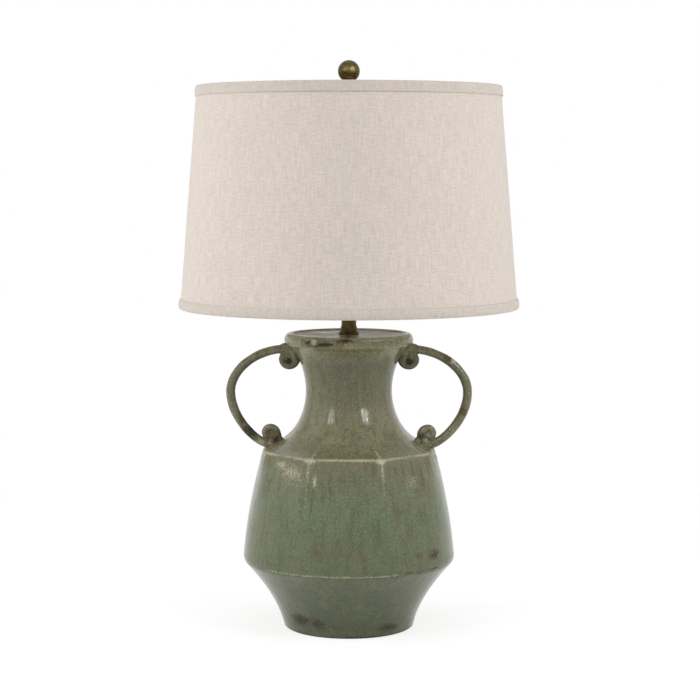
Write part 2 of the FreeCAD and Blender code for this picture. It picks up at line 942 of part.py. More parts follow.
def bulb_filament():
    # Two lead wires from the stem carry a horizontal ring of filament, open at the back
    level = stem_top + filament_height
    ring = Part.makeTorus(filament_radius, filament_wire_radius, Vector(0, 0, level), UP)
    gap = Part.makeBox(filament_radius, 2 * filament_radius, 4 * filament_wire_radius)
    gap.translate(Vector(-filament_radius / 2, 0, level - 2 * filament_wire_radius))
    filament = ring.cut(gap)
    lead_x = 0.5 * filament_radius
    lead_y = math.sqrt(filament_radius ** 2 - lead_x ** 2)
    for side in (-1, 1):
        foot = Vector(side * 0.5 * stem_radius, 0, stem_top)
        tip = Vector(side * (lead_x + filament_wire_radius), lead_y, level)
        filament = filament.fuse(Part.makeCylinder(filament_wire_radius, (tip - foot).Length, foot, tip - foot))
    below_stem_top = cylinder(bulb_radius, stem_top - filament_height, stem_top)
    return filament.cut(below_stem_top)


def panel_radius(height):
    # Outside of the shade's fabric at any height
    return shade_top_radius + (shade_bottom_radius - shade_top_radius) * (shade_top - height) / shade_height


def panel(outset, thickness, low, high):
    # A conical sheet whose outside lies outset from the fabric's outside
    outer_low, outer_high = panel_radius(low) + outset, panel_radius(high) + outset
    return turned([
        (outer_low, low),
        (outer_high, high),
        (outer_high - thickness, high),
        (outer_low - thickness, low),
    ])


def shade_fabric():
    return panel(0, fabric_thickness, panel_bottom, panel_top)


def shade_lining():
    return panel(-fabric_thickness, lining_thickness, panel_bottom, panel_top)


sheet_thickness = fabric_thickness + lining_thickness
top_ring_level = panel_top - ring_wire_radius
bottom_ring_level = panel_bottom + ring_wire_radius
top_ring_radius = panel_radius(panel_top) - sheet_thickness - ring_wire_radius - trim_play
bottom_ring_radius = panel_radius(bottom_ring_level + ring_wire_radius) - sheet_thickness - ring_wire_radius - trim_play


def wire_ring(radius, level):
    return Part.makeTorus(radius, ring_wire_radius, Vector(0, 0, level), UP)


def shade_top_trim():
    # A folded tape over the top edge: outside the fabric, across the edge and inside the ring
    low = shade_top - top_trim_height
    inner = top_ring_radius - ring_wire_radius - trim_play
    return turned([
        (panel_radius(low) + trim_play, low),
        (panel_radius(low) + trim_play + trim_thickness, low),
        (panel_radius(shade_top) + trim_play + trim_thickness, shade_top - trim_thickness),
        (panel_radius(shade_top), shade_top),
        (inner, shade_top),
        (inner - trim_thickness, shade_top - trim_thickness),
        (inner - trim_thickness, shade_top - trim_turn_in),
        (inner, shade_top - trim_turn_in),
        (inner, panel_top + trim_play),
        (panel_radius(panel_top) + trim_play, panel_top + trim_play),
    ]).cut(spider_arm_bars(spider_arm_radius + trim_play))


def shade_bottom_trim():
    # A padded hem rolled round the bottom edge
    high = shade_bottom + bottom_trim_height
    inner = bottom_ring_radius - ring_wire_radius - trim_play
    outer_low = panel_radius(panel_bottom) + trim_play
    swell = curve(
        (panel_radius(high) + trim_play, high),
        (panel_radius(high) + trim_play + 1.33 * bottom_trim_bulge, high),
        (outer_low + 1.33 * bottom_trim_bulge, shade_bottom),
        (panel_radius(shade_bottom), shade_bottom),
    )
    edges = [
        swell.toShape(),
        line((panel_radius(shade_bottom), shade_bottom), (inner, shade_bottom)),
        line((inner, shade_bottom), (inner - trim_thickness, shade_bottom + trim_thickness)),
        line((inner - trim_thickness, shade_bottom + trim_thickness), (inner - trim_thickness, shade_bottom + trim_turn_in)),
        line((inner - trim_thickness, shade_bottom + trim_turn_in), (inner, shade_bottom + trim_turn_in)),
        line((inner, shade_bottom + trim_turn_in), (inner, panel_bottom - trim_play)),
        line((inner, panel_bottom - trim_play), (outer_low, panel_bottom - trim_play)),
        line((outer_low, panel_bottom - trim_play), (panel_radius(high) + trim_play, high)),
    ]
    return turned_edges(edges)


def spider_arm_bars(radius):
    # Plain round bars from the washer to the top ring
    bars = []
    for number in range(spider_arms):
        angle = math.pi / 2 + 2 * math.pi * number / spider_arms
        outward = Vector(math.cos(angle), math.sin(angle), 0)
        start = outward * (spider_washer_radius - spider_arm_radius) + UP * (shade_seat + spider_washer_thickness / 2)
        end = outward * top_ring_radius + UP * top_ring_level
        bars.append(Part.makeCylinder(radius, (end - start).Length, start, end - start))
    return Part.makeCompound(bars)


def spider_washer():
    low = shade_seat
    return tube(spider_washer_radius, spider_washer_hole, low, low + spider_washer_thickness)


def spider_arm_set():
    arms = spider_arm_bars(spider_arm_radius)
    arms = arms.cut(cylinder(spider_washer_radius, shade_seat - spider_arm_radius, finial_low + spider_arm_radius))
    return arms.cut(wire_ring(top_ring_radius, top_ring_level))


def finial_neck():
    bore = stud_radius + finial_thread_play
    bore_top = harp_seat + stud_length + finial_bore_spare
    return turned([
        (bore, finial_low),
        (finial_base_radius, finial_low),
        (finial_base_radius, finial_low + 0.15 * finial_neck_height),
        (finial_waist_radius, finial_low + 0.45 * finial_neck_height),
        (finial_seat_radius, finial_low + 0.85 * finial_neck_height),
        (finial_seat_radius, finial_seat + finial_ball_sink),
        (0, finial_seat + finial_ball_sink),
        (0, bore_top),
        (bore, bore_top),
    ])


def finial_ball():
    return Part.makeSphere(finial_ball_radius, Vector(0, 0, ball_centre)).cut(finial_neck())


def build():
    os.makedirs("parts", exist_ok=True)
    outside = body_outside()
    right_handle = handle(outside)
    ferrule = harp_ferrule()
    pieces = {
        "ceramic_body": ceramic_body(outside),
        "handle_right": right_handle,
        "handle_left": mirrored(right_handle),
        "felt_pad": felt_pad(),
        "cord_bushing": cord_bushing(),
        "threaded_rod": tube(rod_radius, rod_bore_radius, rod_low, rod_top),
        "base_washer": base_washer(),
        "base_lock_washer": base_lock_washer(),
        "base_nut": nut(base_nut_thickness, base_nut_low),
        "neck_flange": neck_flange(),
        "neck_tube": tube(neck_tube_radius, neck_tube_inside, tube_low, tube_top),
        "neck_cap": neck_cap(),
        "harp_saddle": harp_saddle(),
        "saddle_nut": nut(saddle_nut_thickness, saddle_top),
        "harp_frame": harp_frame(),
        "harp_stud": harp_stud(),
        "harp_ferrule_right": ferrule,
        "harp_ferrule_left": mirrored(ferrule),
        "socket_cap": socket_cap(),
        "socket_set_screw": socket_set_screw(),
        "socket_shell": socket_shell(),
        "socket_liner": socket_liner(),
        "socket_insulator": socket_insulator(),
        "socket_terminal_screws": terminal_screws(),
        "socket_screw_shell": socket_screw_shell(),
        "socket_contact": socket_contact(),
        "switch_shaft": switch_shaft(),
        "switch_knob": switch_knob(),
        "bulb_glass": bulb_glass(),
        "bulb_base": bulb_base(),
        "bulb_insulator": bulb_insulator(),
        "bulb_contact": bulb_contact(),
        "bulb_stem": bulb_stem(),
        "bulb_filament": bulb_filament(),
        "shade_fabric": shade_fabric(),
        "shade_lining": shade_lining(),
        "shade_top_trim": shade_top_trim(),
        "shade_bottom_trim": shade_bottom_trim(),
        "shade_top_ring": wire_ring(top_ring_radius, top_ring_level),
        "shade_bottom_ring": wire_ring(bottom_ring_radius, bottom_ring_level),
        "spider_washer": spider_washer(),
        "spider_arms": spider_arm_set(),
        "finial_neck": finial_neck(),
        "finial_ball": finial_ball(),
    }
    for name, shape in pieces.items():
        save(name, shape)
        print(name, "solids", len(shape.Solids), "volume", round(shape.Volume), "valid", shape.isValid())


build()
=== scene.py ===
import json
import math

import bmesh
import bpy
import numpy as np
from mathutils import Matrix, Vector, noise


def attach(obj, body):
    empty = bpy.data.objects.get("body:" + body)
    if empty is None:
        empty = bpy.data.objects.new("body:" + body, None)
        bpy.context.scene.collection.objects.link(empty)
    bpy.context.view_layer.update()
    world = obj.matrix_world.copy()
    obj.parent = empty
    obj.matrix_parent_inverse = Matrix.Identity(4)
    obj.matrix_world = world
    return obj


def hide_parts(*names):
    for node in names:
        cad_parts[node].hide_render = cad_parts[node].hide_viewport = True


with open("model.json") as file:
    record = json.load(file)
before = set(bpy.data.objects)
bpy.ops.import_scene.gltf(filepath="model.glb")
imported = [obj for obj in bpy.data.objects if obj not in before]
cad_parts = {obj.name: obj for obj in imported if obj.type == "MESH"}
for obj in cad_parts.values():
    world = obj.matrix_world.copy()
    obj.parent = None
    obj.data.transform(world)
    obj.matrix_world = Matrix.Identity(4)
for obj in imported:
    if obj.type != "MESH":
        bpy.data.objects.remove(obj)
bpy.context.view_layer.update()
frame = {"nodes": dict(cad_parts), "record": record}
nodes = frame["nodes"]
mm = 0.001
print("frame:", len(nodes), "nodes")


def colour(code):
    channels = [int(code[i:i + 2], 16) / 255 for i in (0, 2, 4)]
    return [c / 12.92 if c < 0.04045 else ((c + 0.055) / 1.055) ** 2.4 for c in channels] + [1.0]


def addNode(tree, kind, settings=None, inputs=None, stops=None):
    node = tree.nodes.new("ShaderNode" + kind)
    for key, value in (settings or {}).items():
        setattr(node, key, value)
    for key, value in (inputs or {}).items():
        if isinstance(value, bpy.types.NodeSocket):
            tree.links.new(value, node.inputs[key])
        else:
            node.inputs[key].default_value = value
    if stops:
        elements = node.color_ramp.elements
        elements[0].position = stops[0][0]
        elements[-1].position = stops[-1][0]
        for share, tint in stops[1:-1]:
            elements.new(share)
        for element, (share, tint) in zip(elements, stops):
            element.color = colour(tint)
    return node


def startMaterial(name, **fixed):
    material = bpy.data.materials.new(name)
    material.use_nodes = True
    shader = material.node_tree.nodes["Principled BSDF"]
    for key, value in fixed.items():
        shader.inputs[key.replace("_", " ")].default_value = value
    return material, material.node_tree, shader


def makePiece(bm, name, material, sharpAngle=50):
    mesh = bpy.data.meshes.new(name)
    bm.to_mesh(mesh)
    bm.free()
    return placeMesh(mesh, name, material, sharpAngle)


def placeMesh(mesh, name, material, sharpAngle=50):
    mesh.name = name
    mesh.materials.clear()
    mesh.materials.append(material)
    mesh.shade_smooth()
    mesh.set_sharp_from_angle(angle=math.radians(sharpAngle))
    piece = bpy.data.objects.new(name, mesh)
    bpy.context.scene.collection.objects.link(piece)
    return piece


def finished(piece):
    # the mesh with its modifiers applied
    mesh = bpy.data.meshes.new_from_object(piece.evaluated_get(bpy.context.evaluated_depsgraph_get()))
    bpy.data.objects.remove(piece)
    return mesh


def lathe(outline, steps):
    # a full turn of a closed (radius, height) outline in millimetres
    bm = bmesh.new()
    ring = [bm.verts.new((radius * mm, 0, height * mm)) for radius, height in outline]
    edges = [bm.edges.new(pair) for pair in zip(ring, ring[1:] + ring[:1])]
    bmesh.ops.spin(bm, geom=ring + edges, cent=(0, 0, 0), axis=(0, 0, 1), angle=2 * math.pi,
                   steps=steps, use_merge=True, use_duplicate=False)
    bmesh.ops.remove_doubles(bm, verts=bm.verts, dist=1e-6)
    bmesh.ops.recalc_face_normals(bm, faces=bm.faces)
    return bm


def readPoints(mesh):
    points = np.zeros(len(mesh.vertices) * 3)
    mesh.vertices.foreach_get("co", points)
    return points.reshape(-1, 3) / mm


def writePoints(mesh, points):
    mesh.vertices.foreach_set("co", (points * mm).ravel())
    mesh.update()


def clouds(points, size, seed):
    # smooth noise from -1 to 1 at each point, with lumps of about this size in millimetres
    return np.array([noise.noise(Vector(p) / size + Vector((seed, 2 * seed, 0))) for p in points])


glaze = {
    # tint by height, from the foot to the rim, as shares of 396 mm: the glaze's own colour, with painted
    # shade darkening the foot and a painted reflection making the rim top pale
    "byHeightWithPaintedLight": [(0.0, "4B523A"), (0.08, "5B664D"), (0.2, "626E53"), (0.3, "677458"), (0.45, "6E7E61"),
                 (0.58, "757A60"), (0.66, "8F8C70"), (0.78, "7D7C61"), (0.9, "73745B"),
                 (0.97, "A39C7A"), (1.0, "B2AB8B")],
    # clouds of stain: millimetres across and up, noise from and to, strength, tint
    "stains": [
        ((34, 34), 0.44, 0.70, 0.50, "7E7F60"),
        ((22, 46), 0.50, 0.72, 0.45, "5A664D"),
        ((7, 60), 0.48, 0.70, 0.66, "5E563C"),
        ((14, 10), 0.54, 0.74, 0.35, "918B69"),
    ],
    "cream": "B9B092", "rust": "5F5038", "dark": "3A3222", "crack": "474530",
    # crazing: size and strength of its large and small cells, and half a line's width, in millimetres
    "cells": [(5.2, 0.46), (2.6, 0.28)], "crackWidth": 0.30, "grainSize": 2.2,
    # wear, stains and the painted highlights and shade break up into crumbs: their width, the height of each
    # kind's, and how ragged they are
    "crumbWidth": 2.4, "crumbs": [("rust", 7.0), ("dark", 3.6), ("cream", 2.6)], "raggedness": 1.3,
    "marksFrom": 0.83, "marksTo": 1.20,
}


def makeGlaze():
    # Celadon-type glaze over stoneware, dipped and fired: glossy, pooled in streaks, crazed into small cells.
    # Real crazing is hair-fine, so its lines are drawn nearly 1 mm wide here, fading out, to show at all.
    material, tree, shader = startMaterial("crackleGlazedStoneware", IOR=1.5, Specular_IOR_Level=0.36)
    place = addNode(tree, "TexCoord").outputs["Object"]
    inMm = addNode(tree, "Mapping", None, {"Vector": place, "Scale": (1000, 1000, 1000)}).outputs[0]
    height = addNode(tree, "SeparateXYZ", None, {0: inMm}).outputs["Z"]
    share = addNode(tree, "MapRange", None, {"Value": height, "From Max": 396.0}).outputs[0]
    # the tint by height carries painted shade at the foot and a painted reflection on the rim top
    tone = addNode(tree, "ValToRGB", None, {0: share}, glaze["byHeightWithPaintedLight"]).outputs[0]
    for number, ((wide, tall), low, high, strength, tint) in enumerate(glaze["stains"]):
        spread = addNode(tree, "Mapping", None, {"Vector": inMm, "Location": (7.3 * number, 3.1, 0),
                                                 "Scale": (1 / wide, 1 / wide, 1 / tall)}).outputs[0]
        cloud = addNode(tree, "TexNoise", None, {"Vector": spread, "Scale": 1.0, "Detail": 5.0,
                                                 "Roughness": 0.62}).outputs[0]
        amount = addNode(tree, "MapRange", None, {"Value": cloud, "From Min": low, "From Max": high,
                                                  "To Max": strength}).outputs[0]
        tone = addNode(tree, "Mix", {"data_type": "RGBA"}, {0: amount, 6: tone, 7: colour(tint)}).outputs[2]

    grain = addNode(tree, "TexNoise", None, {"Vector": inMm, "Scale": 1 / glaze["grainSize"], "Detail": 3.0,
                                             "Roughness": 0.7}).outputs[0]
    shade = addNode(tree, "MapRange", None, {"Value": grain, "From Min": 0.3, "From Max": 0.7,
                                             "To Min": 0.85, "To Max": 1.15}).outputs[0]
    tone = addNode(tree, "HueSaturation", None, {"Value": shade, "Color": tone}).outputs[0]

    warp = addNode(tree, "TexNoise", None, {"Vector": inMm, "Scale": 0.12, "Detail": 2.0}).outputs[1]
    bentMm = addNode(tree, "VectorMath", {"operation": "MULTIPLY_ADD"},
                     {0: warp, 1: (4.0, 4.0, 4.0), 2: inMm}).outputs[0]
    cracks = []
    for size, strength in glaze["cells"]:
        gap = addNode(tree, "TexVoronoi", {"feature": "DISTANCE_TO_EDGE"},
                      {"Vector": bentMm, "Scale": 1 / size}).outputs[0]
        crack = addNode(tree, "MapRange", None,
                        {"Value": gap, "From Min": 0.01, "From Max": glaze["crackWidth"] / size + 0.03,
                         "To Min": strength, "To Max": 0.0}).outputs[0]
        tone = addNode(tree, "Mix", {"data_type": "RGBA"},
                       {0: crack, 6: tone, 7: colour(glaze["crack"])}).outputs[2]
        cracks.append(crack)

    wearAndPaintedLight = 0.0
    crumb = 1 / glaze["crumbWidth"]
    for kind, tall in glaze["crumbs"]:
        spread = addNode(tree, "Mapping", None,
                         {"Vector": inMm, "Scale": (crumb, crumb, 1 / tall)}).outputs[0]
        ragged = addNode(tree, "TexNoise", None, {"Vector": spread, "Scale": 1.0, "Detail": 5.0,
                                                  "Roughness": 0.7}).outputs[0]
        painted = addNode(tree, "Attribute", {"attribute_name": kind}).outputs["Fac"]
        broken = addNode(tree, "Math", {"operation": "MULTIPLY_ADD"},
                         {0: ragged, 1: glaze["raggedness"], 2: painted}).outputs[0]
        amount = addNode(tree, "MapRange", None, {"Value": broken, "From Min": glaze["marksFrom"],
                                                  "From Max": glaze["marksTo"]}).outputs[0]
        tone = addNode(tree, "Mix", {"data_type": "RGBA"},
                       {0: amount, 6: tone, 7: colour(glaze[kind])}).outputs[2]
        wearAndPaintedLight = addNode(tree, "Math", {"operation": "MAXIMUM"}, {0: amount, 1: wearAndPaintedLight}).outputs[0]

    # worn and stained places, and the painted highlights and shade, are duller than the glaze around them
    dull = addNode(tree, "MapRange", None, {"Value": wearAndPaintedLight, "To Min": 0.10, "To Max": 0.70}).outputs[0]
    rough = addNode(tree, "Math", {"operation": "MULTIPLY_ADD"}, {0: grain, 1: 0.10, 2: dull}).outputs[0]
    lumps = addNode(tree, "TexNoise", None, {"Vector": inMm, "Scale": 1 / 11, "Detail": 3.0}).outputs[0]
    relief = lumps
    for detail, share in ((cracks[0], -0.25), (grain, 0.10)):
        relief = addNode(tree, "Math", {"operation": "MULTIPLY_ADD"},
                         {0: detail, 1: share, 2: relief}).outputs[0]
    bump = addNode(tree, "Bump", None, {"Strength": 0.40, "Distance": 0.0008, "Height": relief}).outputs[0]
    tree.links.new(tone, shader.inputs["Base Color"])
    tree.links.new(rough, shader.inputs["Roughness"])
    tree.links.new(bump, shader.inputs["Normal"])
    return material


glazeMaterial = makeGlaze()


def paint(mesh, amounts):
    # amounts of cream, rust and dark at each point, which the glaze reads
    for kind in ("cream", "rust", "dark"):
        layer = mesh.attributes.new(kind, "FLOAT", "POINT")
        layer.data.foreach_set("value", np.clip(amounts.get(kind, np.zeros(len(mesh.vertices))), 0, 1))


urn = {
    "turnSteps": 320,
    # heights: the foot's underside, its rounded edge, the belly's low and high edge, shoulder, waist,
    # and the rim's low edge and top
    "levels": (1.5, 4.0, 90.0, 102.0, 240.0, 318.0, 379.2, 395.0), "facetsEnd": 379.0, "waistFacets": 0.1,
    # half widths across the flats, and how far each stretch stands out or in
    "footRadius": 87.2, "bellyEdge": 139.4, "bellyRadius": 141.0, "shoulderRadius": 114.4,
    "waistRadius": 57.5, "rimRadius": 80.8, "rimTaper": 1.5, "rimRoll": 6.0, "footHollow": 7.2,
    "bellyBulge": 1.2, "sideBulge": 3.4, "shoulderSpread": 20.5, "lipSpread": 4.3,
    # the dish under the brass flange, the hollow and the foot's recess, as (radius, height)
    "dish": [(75.6, 394.9), (73.0, 394.4), (71.8, 393.6), (70.4, 393.2), (40, 393.2), (13.8, 393.2)],
    "rodHole": 6.2, "hollowInset": 9.0, "recess": [(87.9, 19.5), (77.7, 1.5)],
    "hollowRows": (386.2, 372, 350, 318, 290, 268, 252, 240, 228, 200, 150, 102, 84, 60, 26.5),
    # the cord hole's two steps: radius, and how far back each starts and ends
    "inlet": [(5.5, 70.0, 95.0), (7.9, 86.13, 99.0)], "inletHeight": 10.5,
    "waveSize": 62.0, "waveHeight": 0.55, "dimpleSize": 19.0, "dimpleHeight": 0.16,
    # chips: degrees from the front, height, radius and depth in millimetres
    "chips": [(-30, 388, 6.0, 0.9), (-21, 391, 4.0, 0.7), (-4, 393, 7.0, 0.8), (24, 393, 5.0, 0.5),
              (64, 390, 5.0, 0.8), (140, 391, 6.0, 0.7), (-120, 389, 5.0, 0.9), (-22, 239, 4.0, 0.6),
              (22.5, 239, 4.0, 0.6), (42, 95, 5.0, 0.5)],
    # painted rings: kind, height, half height, from and to degrees, strength
    "rings": [
        # the pale rings on the shoulder crease at 240 and the belly crease at 93 are wear with a painted
        # highlight along the edge
        ("cream", 240.0, 1.6, -180, 180, 0.60), ("cream", 93.0, 1.4, -50, 31, 0.52),
        ("cream", 93.0, 1.2, 60, 300, 0.36), ("dark", 94.0, 1.6, 31, 60, 0.62),
        ("dark", 90.0, 2.0, -180, 180, 0.24), ("cream", 391.5, 1.6, 8, 48, 0.55),
        ("rust", 386.0, 5.0, -180, 180, 0.26), ("dark", 378.5, 1.6, -180, 180, 0.34),
        ("dark", 2.0, 2.5, -180, 180, 0.50), ("cream", 206.0, 1.2, -41, -20, 0.55),
        ("rust", 230.0, 15.0, -180, 180, 0.34), ("rust", 262.0, 24.0, -180, 180, 0.26),
        ("rust", 300.0, 30.0, -180, 180, 0.14), ("dark", 14.0, 9.0, -180, 180, 0.24),
        ("rust", 175.0, 70.0, -66, -23, 0.25), ("rust", 175.0, 70.0, 23, 66, 0.24),
        ("dark", 165.0, 60.0, 25, 75, 0.24),
    ],
    # painted spots: kind, degrees from the front, height, half width, half height, strength
    "spots": [
        # the pale spots at the two front shoulder corners and the thin upright one at -18 degrees are painted
        # highlights, and the broad pale ones at -36 and -46 degrees are a painted reflection
        ("cream", -22.5, 239.5, 9, 2.2, 0.80), ("cream", 22.5, 239.5, 9, 2.2, 0.80),
        ("cream", -18, 213, 2.4, 9, 0.62),
        ("cream", -36, 222, 30, 12, 0.36), ("cream", -46, 229, 16, 5, 0.46), ("rust", -44, 218, 12, 6, 0.50),
        ("rust", -28, 228, 9, 6, 0.46), ("rust", -54, 206, 14, 5, 0.40), ("rust", 32, 224, 2.5, 16, 0.55),
        ("rust", 38, 216, 2.5, 20, 0.58), ("rust", 46, 222, 3, 16, 0.60), ("rust", 53, 214, 3.5, 22, 0.62),
        ("rust", 60, 224, 3, 16, 0.55), ("cream", 44, 208, 18, 10, 0.26),
        ("rust", 42, 115, 8, 5, 0.62), ("rust", 3, 121, 4, 12, 0.50), ("rust", 9, 119, 4, 13, 0.50),
        ("rust", -15, 122, 9, 7, 0.50), ("dark", -40, 22, 22, 10, 0.58), ("dark", -24, 20, 16, 9, 0.52),
        ("dark", 38, 13, 22, 7, 0.58), ("cream", -30, 388, 6, 4, 0.60), ("dark", -27, 386, 7, 4, 0.58),
        ("dark", -34, 388, 9, 2.6, 0.85), ("dark", -19, 386, 12, 2.4, 0.90), ("rust", -28, 384, 26, 4, 0.55),
        ("rust", -2, 391, 12, 3, 0.80), ("dark", 0, 392, 6, 2, 0.80), ("cream", -30, 390, 5, 1.6, 0.90),
        ("rust", -51, 336, 2, 26, 0.36), ("dark", 55, 112, 16, 9, 0.55),
        ("cream", 70, 388, 9, 4, 0.48), ("rust", 150, 220, 26, 15, 0.45), ("cream", 190, 214, 24, 14, 0.40),
        ("dark", 160, 18, 26, 9, 0.55), ("rust", 230, 118, 12, 9, 0.5), ("dark", 215, 388, 8, 4, 0.55),
        ("rust", 96, 216, 4, 22, 0.55), ("rust", 262, 208, 5, 20, 0.52),
    ],
    # strength of the painted highlight along the upright corners
    "cornerHighlight": 0.46,
}


def bowed(start, end, bulge, share):
    return start + (end - start) * share + bulge * 4 * share * (1 - share)


def urnRadius(height):
    # half the urn's width across its flats
    foot, flare, belly, side, shoulder, waist, rim, top = urn["levels"]
    if height < flare:
        rounding = flare - foot
        bend = math.sqrt(max(0, 1 - (1 - (height - foot) / rounding) ** 2))
        return urn["footRadius"] - rounding + rounding * bend
    if height < belly:
        share = (height - flare) / (belly - flare)
        return bowed(urn["footRadius"], urn["bellyEdge"], -urn["footHollow"], share)
    if height < side:
        share = (height - belly) / (side - belly)
        return bowed(urn["bellyEdge"], urn["bellyRadius"], urn["bellyBulge"], share)
    if height < shoulder:
        share = (height - side) / (shoulder - side)
        return bowed(urn["bellyRadius"], urn["shoulderRadius"], urn["sideBulge"], share)
    if height < waist:
        fall = (waist - height) / (waist - shoulder)
        gentle = urn["shoulderRadius"] - urn["waistRadius"] - urn["shoulderSpread"]
        return urn["waistRadius"] + gentle * fall ** 2 + urn["shoulderSpread"] * fall ** 7
    if height < rim:
        share = (height - waist) / (rim - waist)
        gentle = urn["rimRadius"] - urn["waistRadius"] - urn["lipSpread"]
        return urn["waistRadius"] + gentle * share ** 2 + urn["lipSpread"] * share ** 8
    share = min(1, (height - rim) / (top - rim))
    roll = urn["rimRoll"] * math.sqrt(max(0, 1 - (2 * share - 1) ** 2))
    return urn["rimRadius"] - urn["rimTaper"] * share + roll


def urnFacets(height):
    # how far the section is from round towards an octagon
    side, shoulder, waist = urn["levels"][3:6]
    if height < side or height > urn["facetsEnd"]:
        return 0.0
    if height < shoulder:
        return ((height - side) / (shoulder - side)) ** 2
    if height < waist:
        fall = (waist - height) / (waist - shoulder)
        return urn["waistFacets"] + (1 - urn["waistFacets"]) * fall ** 1.5
    return urn["waistFacets"] * (urn["facetsEnd"] - height) / (urn["facetsEnd"] - waist)


def urnOutline():
    # foot, sides, shoulder, neck and rim, with rows crowded at each crease
    levels = urn["levels"]
    foot, shoulder, rim, top = levels[0], levels[4], levels[6], levels[7]
    rounding = levels[1] - foot
    outside = []
    for k in range(8):
        bend = k * math.pi / 16
        radius = urn["footRadius"] - rounding + rounding * math.sin(bend)
        outside.append((radius, foot + rounding * (1 - math.cos(bend))))
    for low, high in zip(levels[1:6], levels[2:7]):
        height = low
        while height < high - 0.3:
            outside.append((urnRadius(height), height))
            near = min(abs(height - low), abs(high - height)) < 3.8
            height += 0.7 if near else 1.5 if shoulder <= height < shoulder + 24 else 2.8
    for k in range(25):
        share = (1 - math.cos(k * math.pi / 24)) / 2
        radius = urn["rimRadius"] - urn["rimTaper"] * share + urn["rimRoll"] * math.sin(k * math.pi / 24)
        outside.append((radius, rim + (top - rim) * share))
    for turn in range(5):
        radii = [radius for radius, height in outside]
        for i in range(1, len(outside) - 1):
            if min(abs(outside[i][1] - crease) for crease in levels[2:6]) < 2.4:
                outside[i] = ((radii[i - 1] + 2 * radii[i] + radii[i + 1]) / 4, outside[i][1])
    # inside, from the dish down the rod hole, round the hollow and out through the foot's recess
    rodHole, rows = urn["rodHole"], urn["hollowRows"]
    inside = urn["dish"] + [(rodHole, urn["dish"][-1][1]), (rodHole, rows[0])]
    inside += [(urnRadius(height) - urn["hollowInset"], height) for height in rows]
    inside += [(rodHole, rows[-1]), (rodHole, urn["recess"][0][1])] + urn["recess"]
    return outside + inside


def octagonReach(angles, facets):
    # a point's distance on the octagon over that at the middle of a flat; the front corners are crisper
    power = 6 + facets * (8 + 36 * np.sin(angles) ** 2 - 6)
    total = sum(np.maximum(0, np.cos(angles - k * math.pi / 4)) ** power for k in range(8))
    straight = sum(max(0, math.cos(k * math.pi / 4)) ** power for k in range(8))
    return (straight ** (1 / power)) / (total ** (1 / power))


def shapeUrn(mesh):
    points = readPoints(mesh)
    around = np.arctan2(points[:, 1], points[:, 0])
    reach = np.hypot(points[:, 0], points[:, 1])
    heights = points[:, 2]
    # only the outer wall is shaped, not the hollow
    outer = reach > np.array([urnRadius(height) - 2.5 for height in heights])
    facets = np.array([urnFacets(height) for height in heights])
    grow = np.where(outer, octagonReach(around, facets), 1.0)
    wave = urn["waveHeight"] * clouds(points, urn["waveSize"], 3.0)
    wave += urn["dimpleHeight"] * clouds(points, urn["dimpleSize"], 8.0)
    wave *= np.clip((heights - 3) / 12, 0, 1) * np.clip((395.5 - heights) / 4, 0, 1)
    reach = reach * grow + np.where(outer, wave, 0.0)
    fromFront = np.degrees(around) + 90
    fromFront = (fromFront + 180) % 360 - 180
    for degrees, height, size, depth in urn["chips"]:
        aside = ((fromFront - degrees + 180) % 360 - 180) * math.pi / 180 * reach
        near = np.hypot(aside, heights - height) / size
        reach -= np.where(outer, depth * np.clip(1 - near ** 2, 0, 1), 0.0)
    points[:, 0] = reach * np.cos(around)
    points[:, 1] = reach * np.sin(around)
    writePoints(mesh, points)


def cutInlet(piece):
    # the stepped hole through the back of the foot, where the cord bushing sits
    bm = bmesh.new()
    for radius, near, far in urn["inlet"]:
        middle = Matrix.Translation((0, (near + far) / 2 * mm, urn["inletHeight"] * mm))
        bmesh.ops.create_cone(bm, cap_ends=True, segments=48, radius1=radius * mm, radius2=radius * mm,
                              depth=(far - near) * mm, matrix=middle @ Matrix.Rotation(math.pi / 2, 4, "X"))
    cutter = makePiece(bm, "inletCutter", glazeMaterial)
    hole = piece.modifiers.new("inlet", "BOOLEAN")
    hole.operation = "DIFFERENCE"
    hole.solver = "EXACT"
    hole.use_self = True
    hole.object = cutter
    mesh = finished(piece)
    bpy.data.objects.remove(cutter)
    return mesh


def paintUrn(mesh):
    points = readPoints(mesh)
    reach = np.hypot(points[:, 0], points[:, 1])
    heights = points[:, 2]
    fromFront = (np.degrees(np.arctan2(points[:, 1], points[:, 0])) + 270) % 360 - 180
    amounts = {kind: np.zeros(len(points)) for kind in ("cream", "rust", "dark")}
    patchy = 0.75 + 0.5 * clouds(points, 23.0, 5.0)
    for kind, height, half, start, end, strength in urn["rings"]:
        along = (fromFront - start) % 360
        inside = np.clip(np.minimum(along, (end - start) - along) / 4, 0, 1) if end - start < 360 else 1.0
        here = strength * patchy * np.exp(-((heights - height) / half) ** 2) * inside
        amounts[kind] = np.maximum(amounts[kind], here)
    for kind, degrees, height, wide, tall, strength in urn["spots"]:
        aside = ((fromFront - degrees + 180) % 360 - 180) * math.pi / 180 * reach
        here = strength * np.exp(-(aside / wide) ** 2 - ((heights - height) / tall) ** 2)
        amounts[kind] = np.maximum(amounts[kind], here)
    # the dish inside the rim is stained and dull
    dish = (heights > 390) & (reach < 76)
    amounts["rust"] = np.where(dish, 0.40 * patchy, amounts["rust"])
    # a painted highlight along the upright corners below the shoulder, added to the cream amount
    corner = np.abs((fromFront + 22.5) % 45 - 22.5)
    corner = (22.5 - corner) * math.pi / 180 * reach
    fade = np.clip((heights - 150) / 80, 0, 1) * np.clip((262 - heights) / 20, 0, 1)
    paintedCornerHighlight = urn["cornerHighlight"] * patchy * fade * np.exp(-(corner / 2.6) ** 2)
    amounts["cream"] = np.maximum(amounts["cream"], paintedCornerHighlight)
    paint(mesh, amounts)


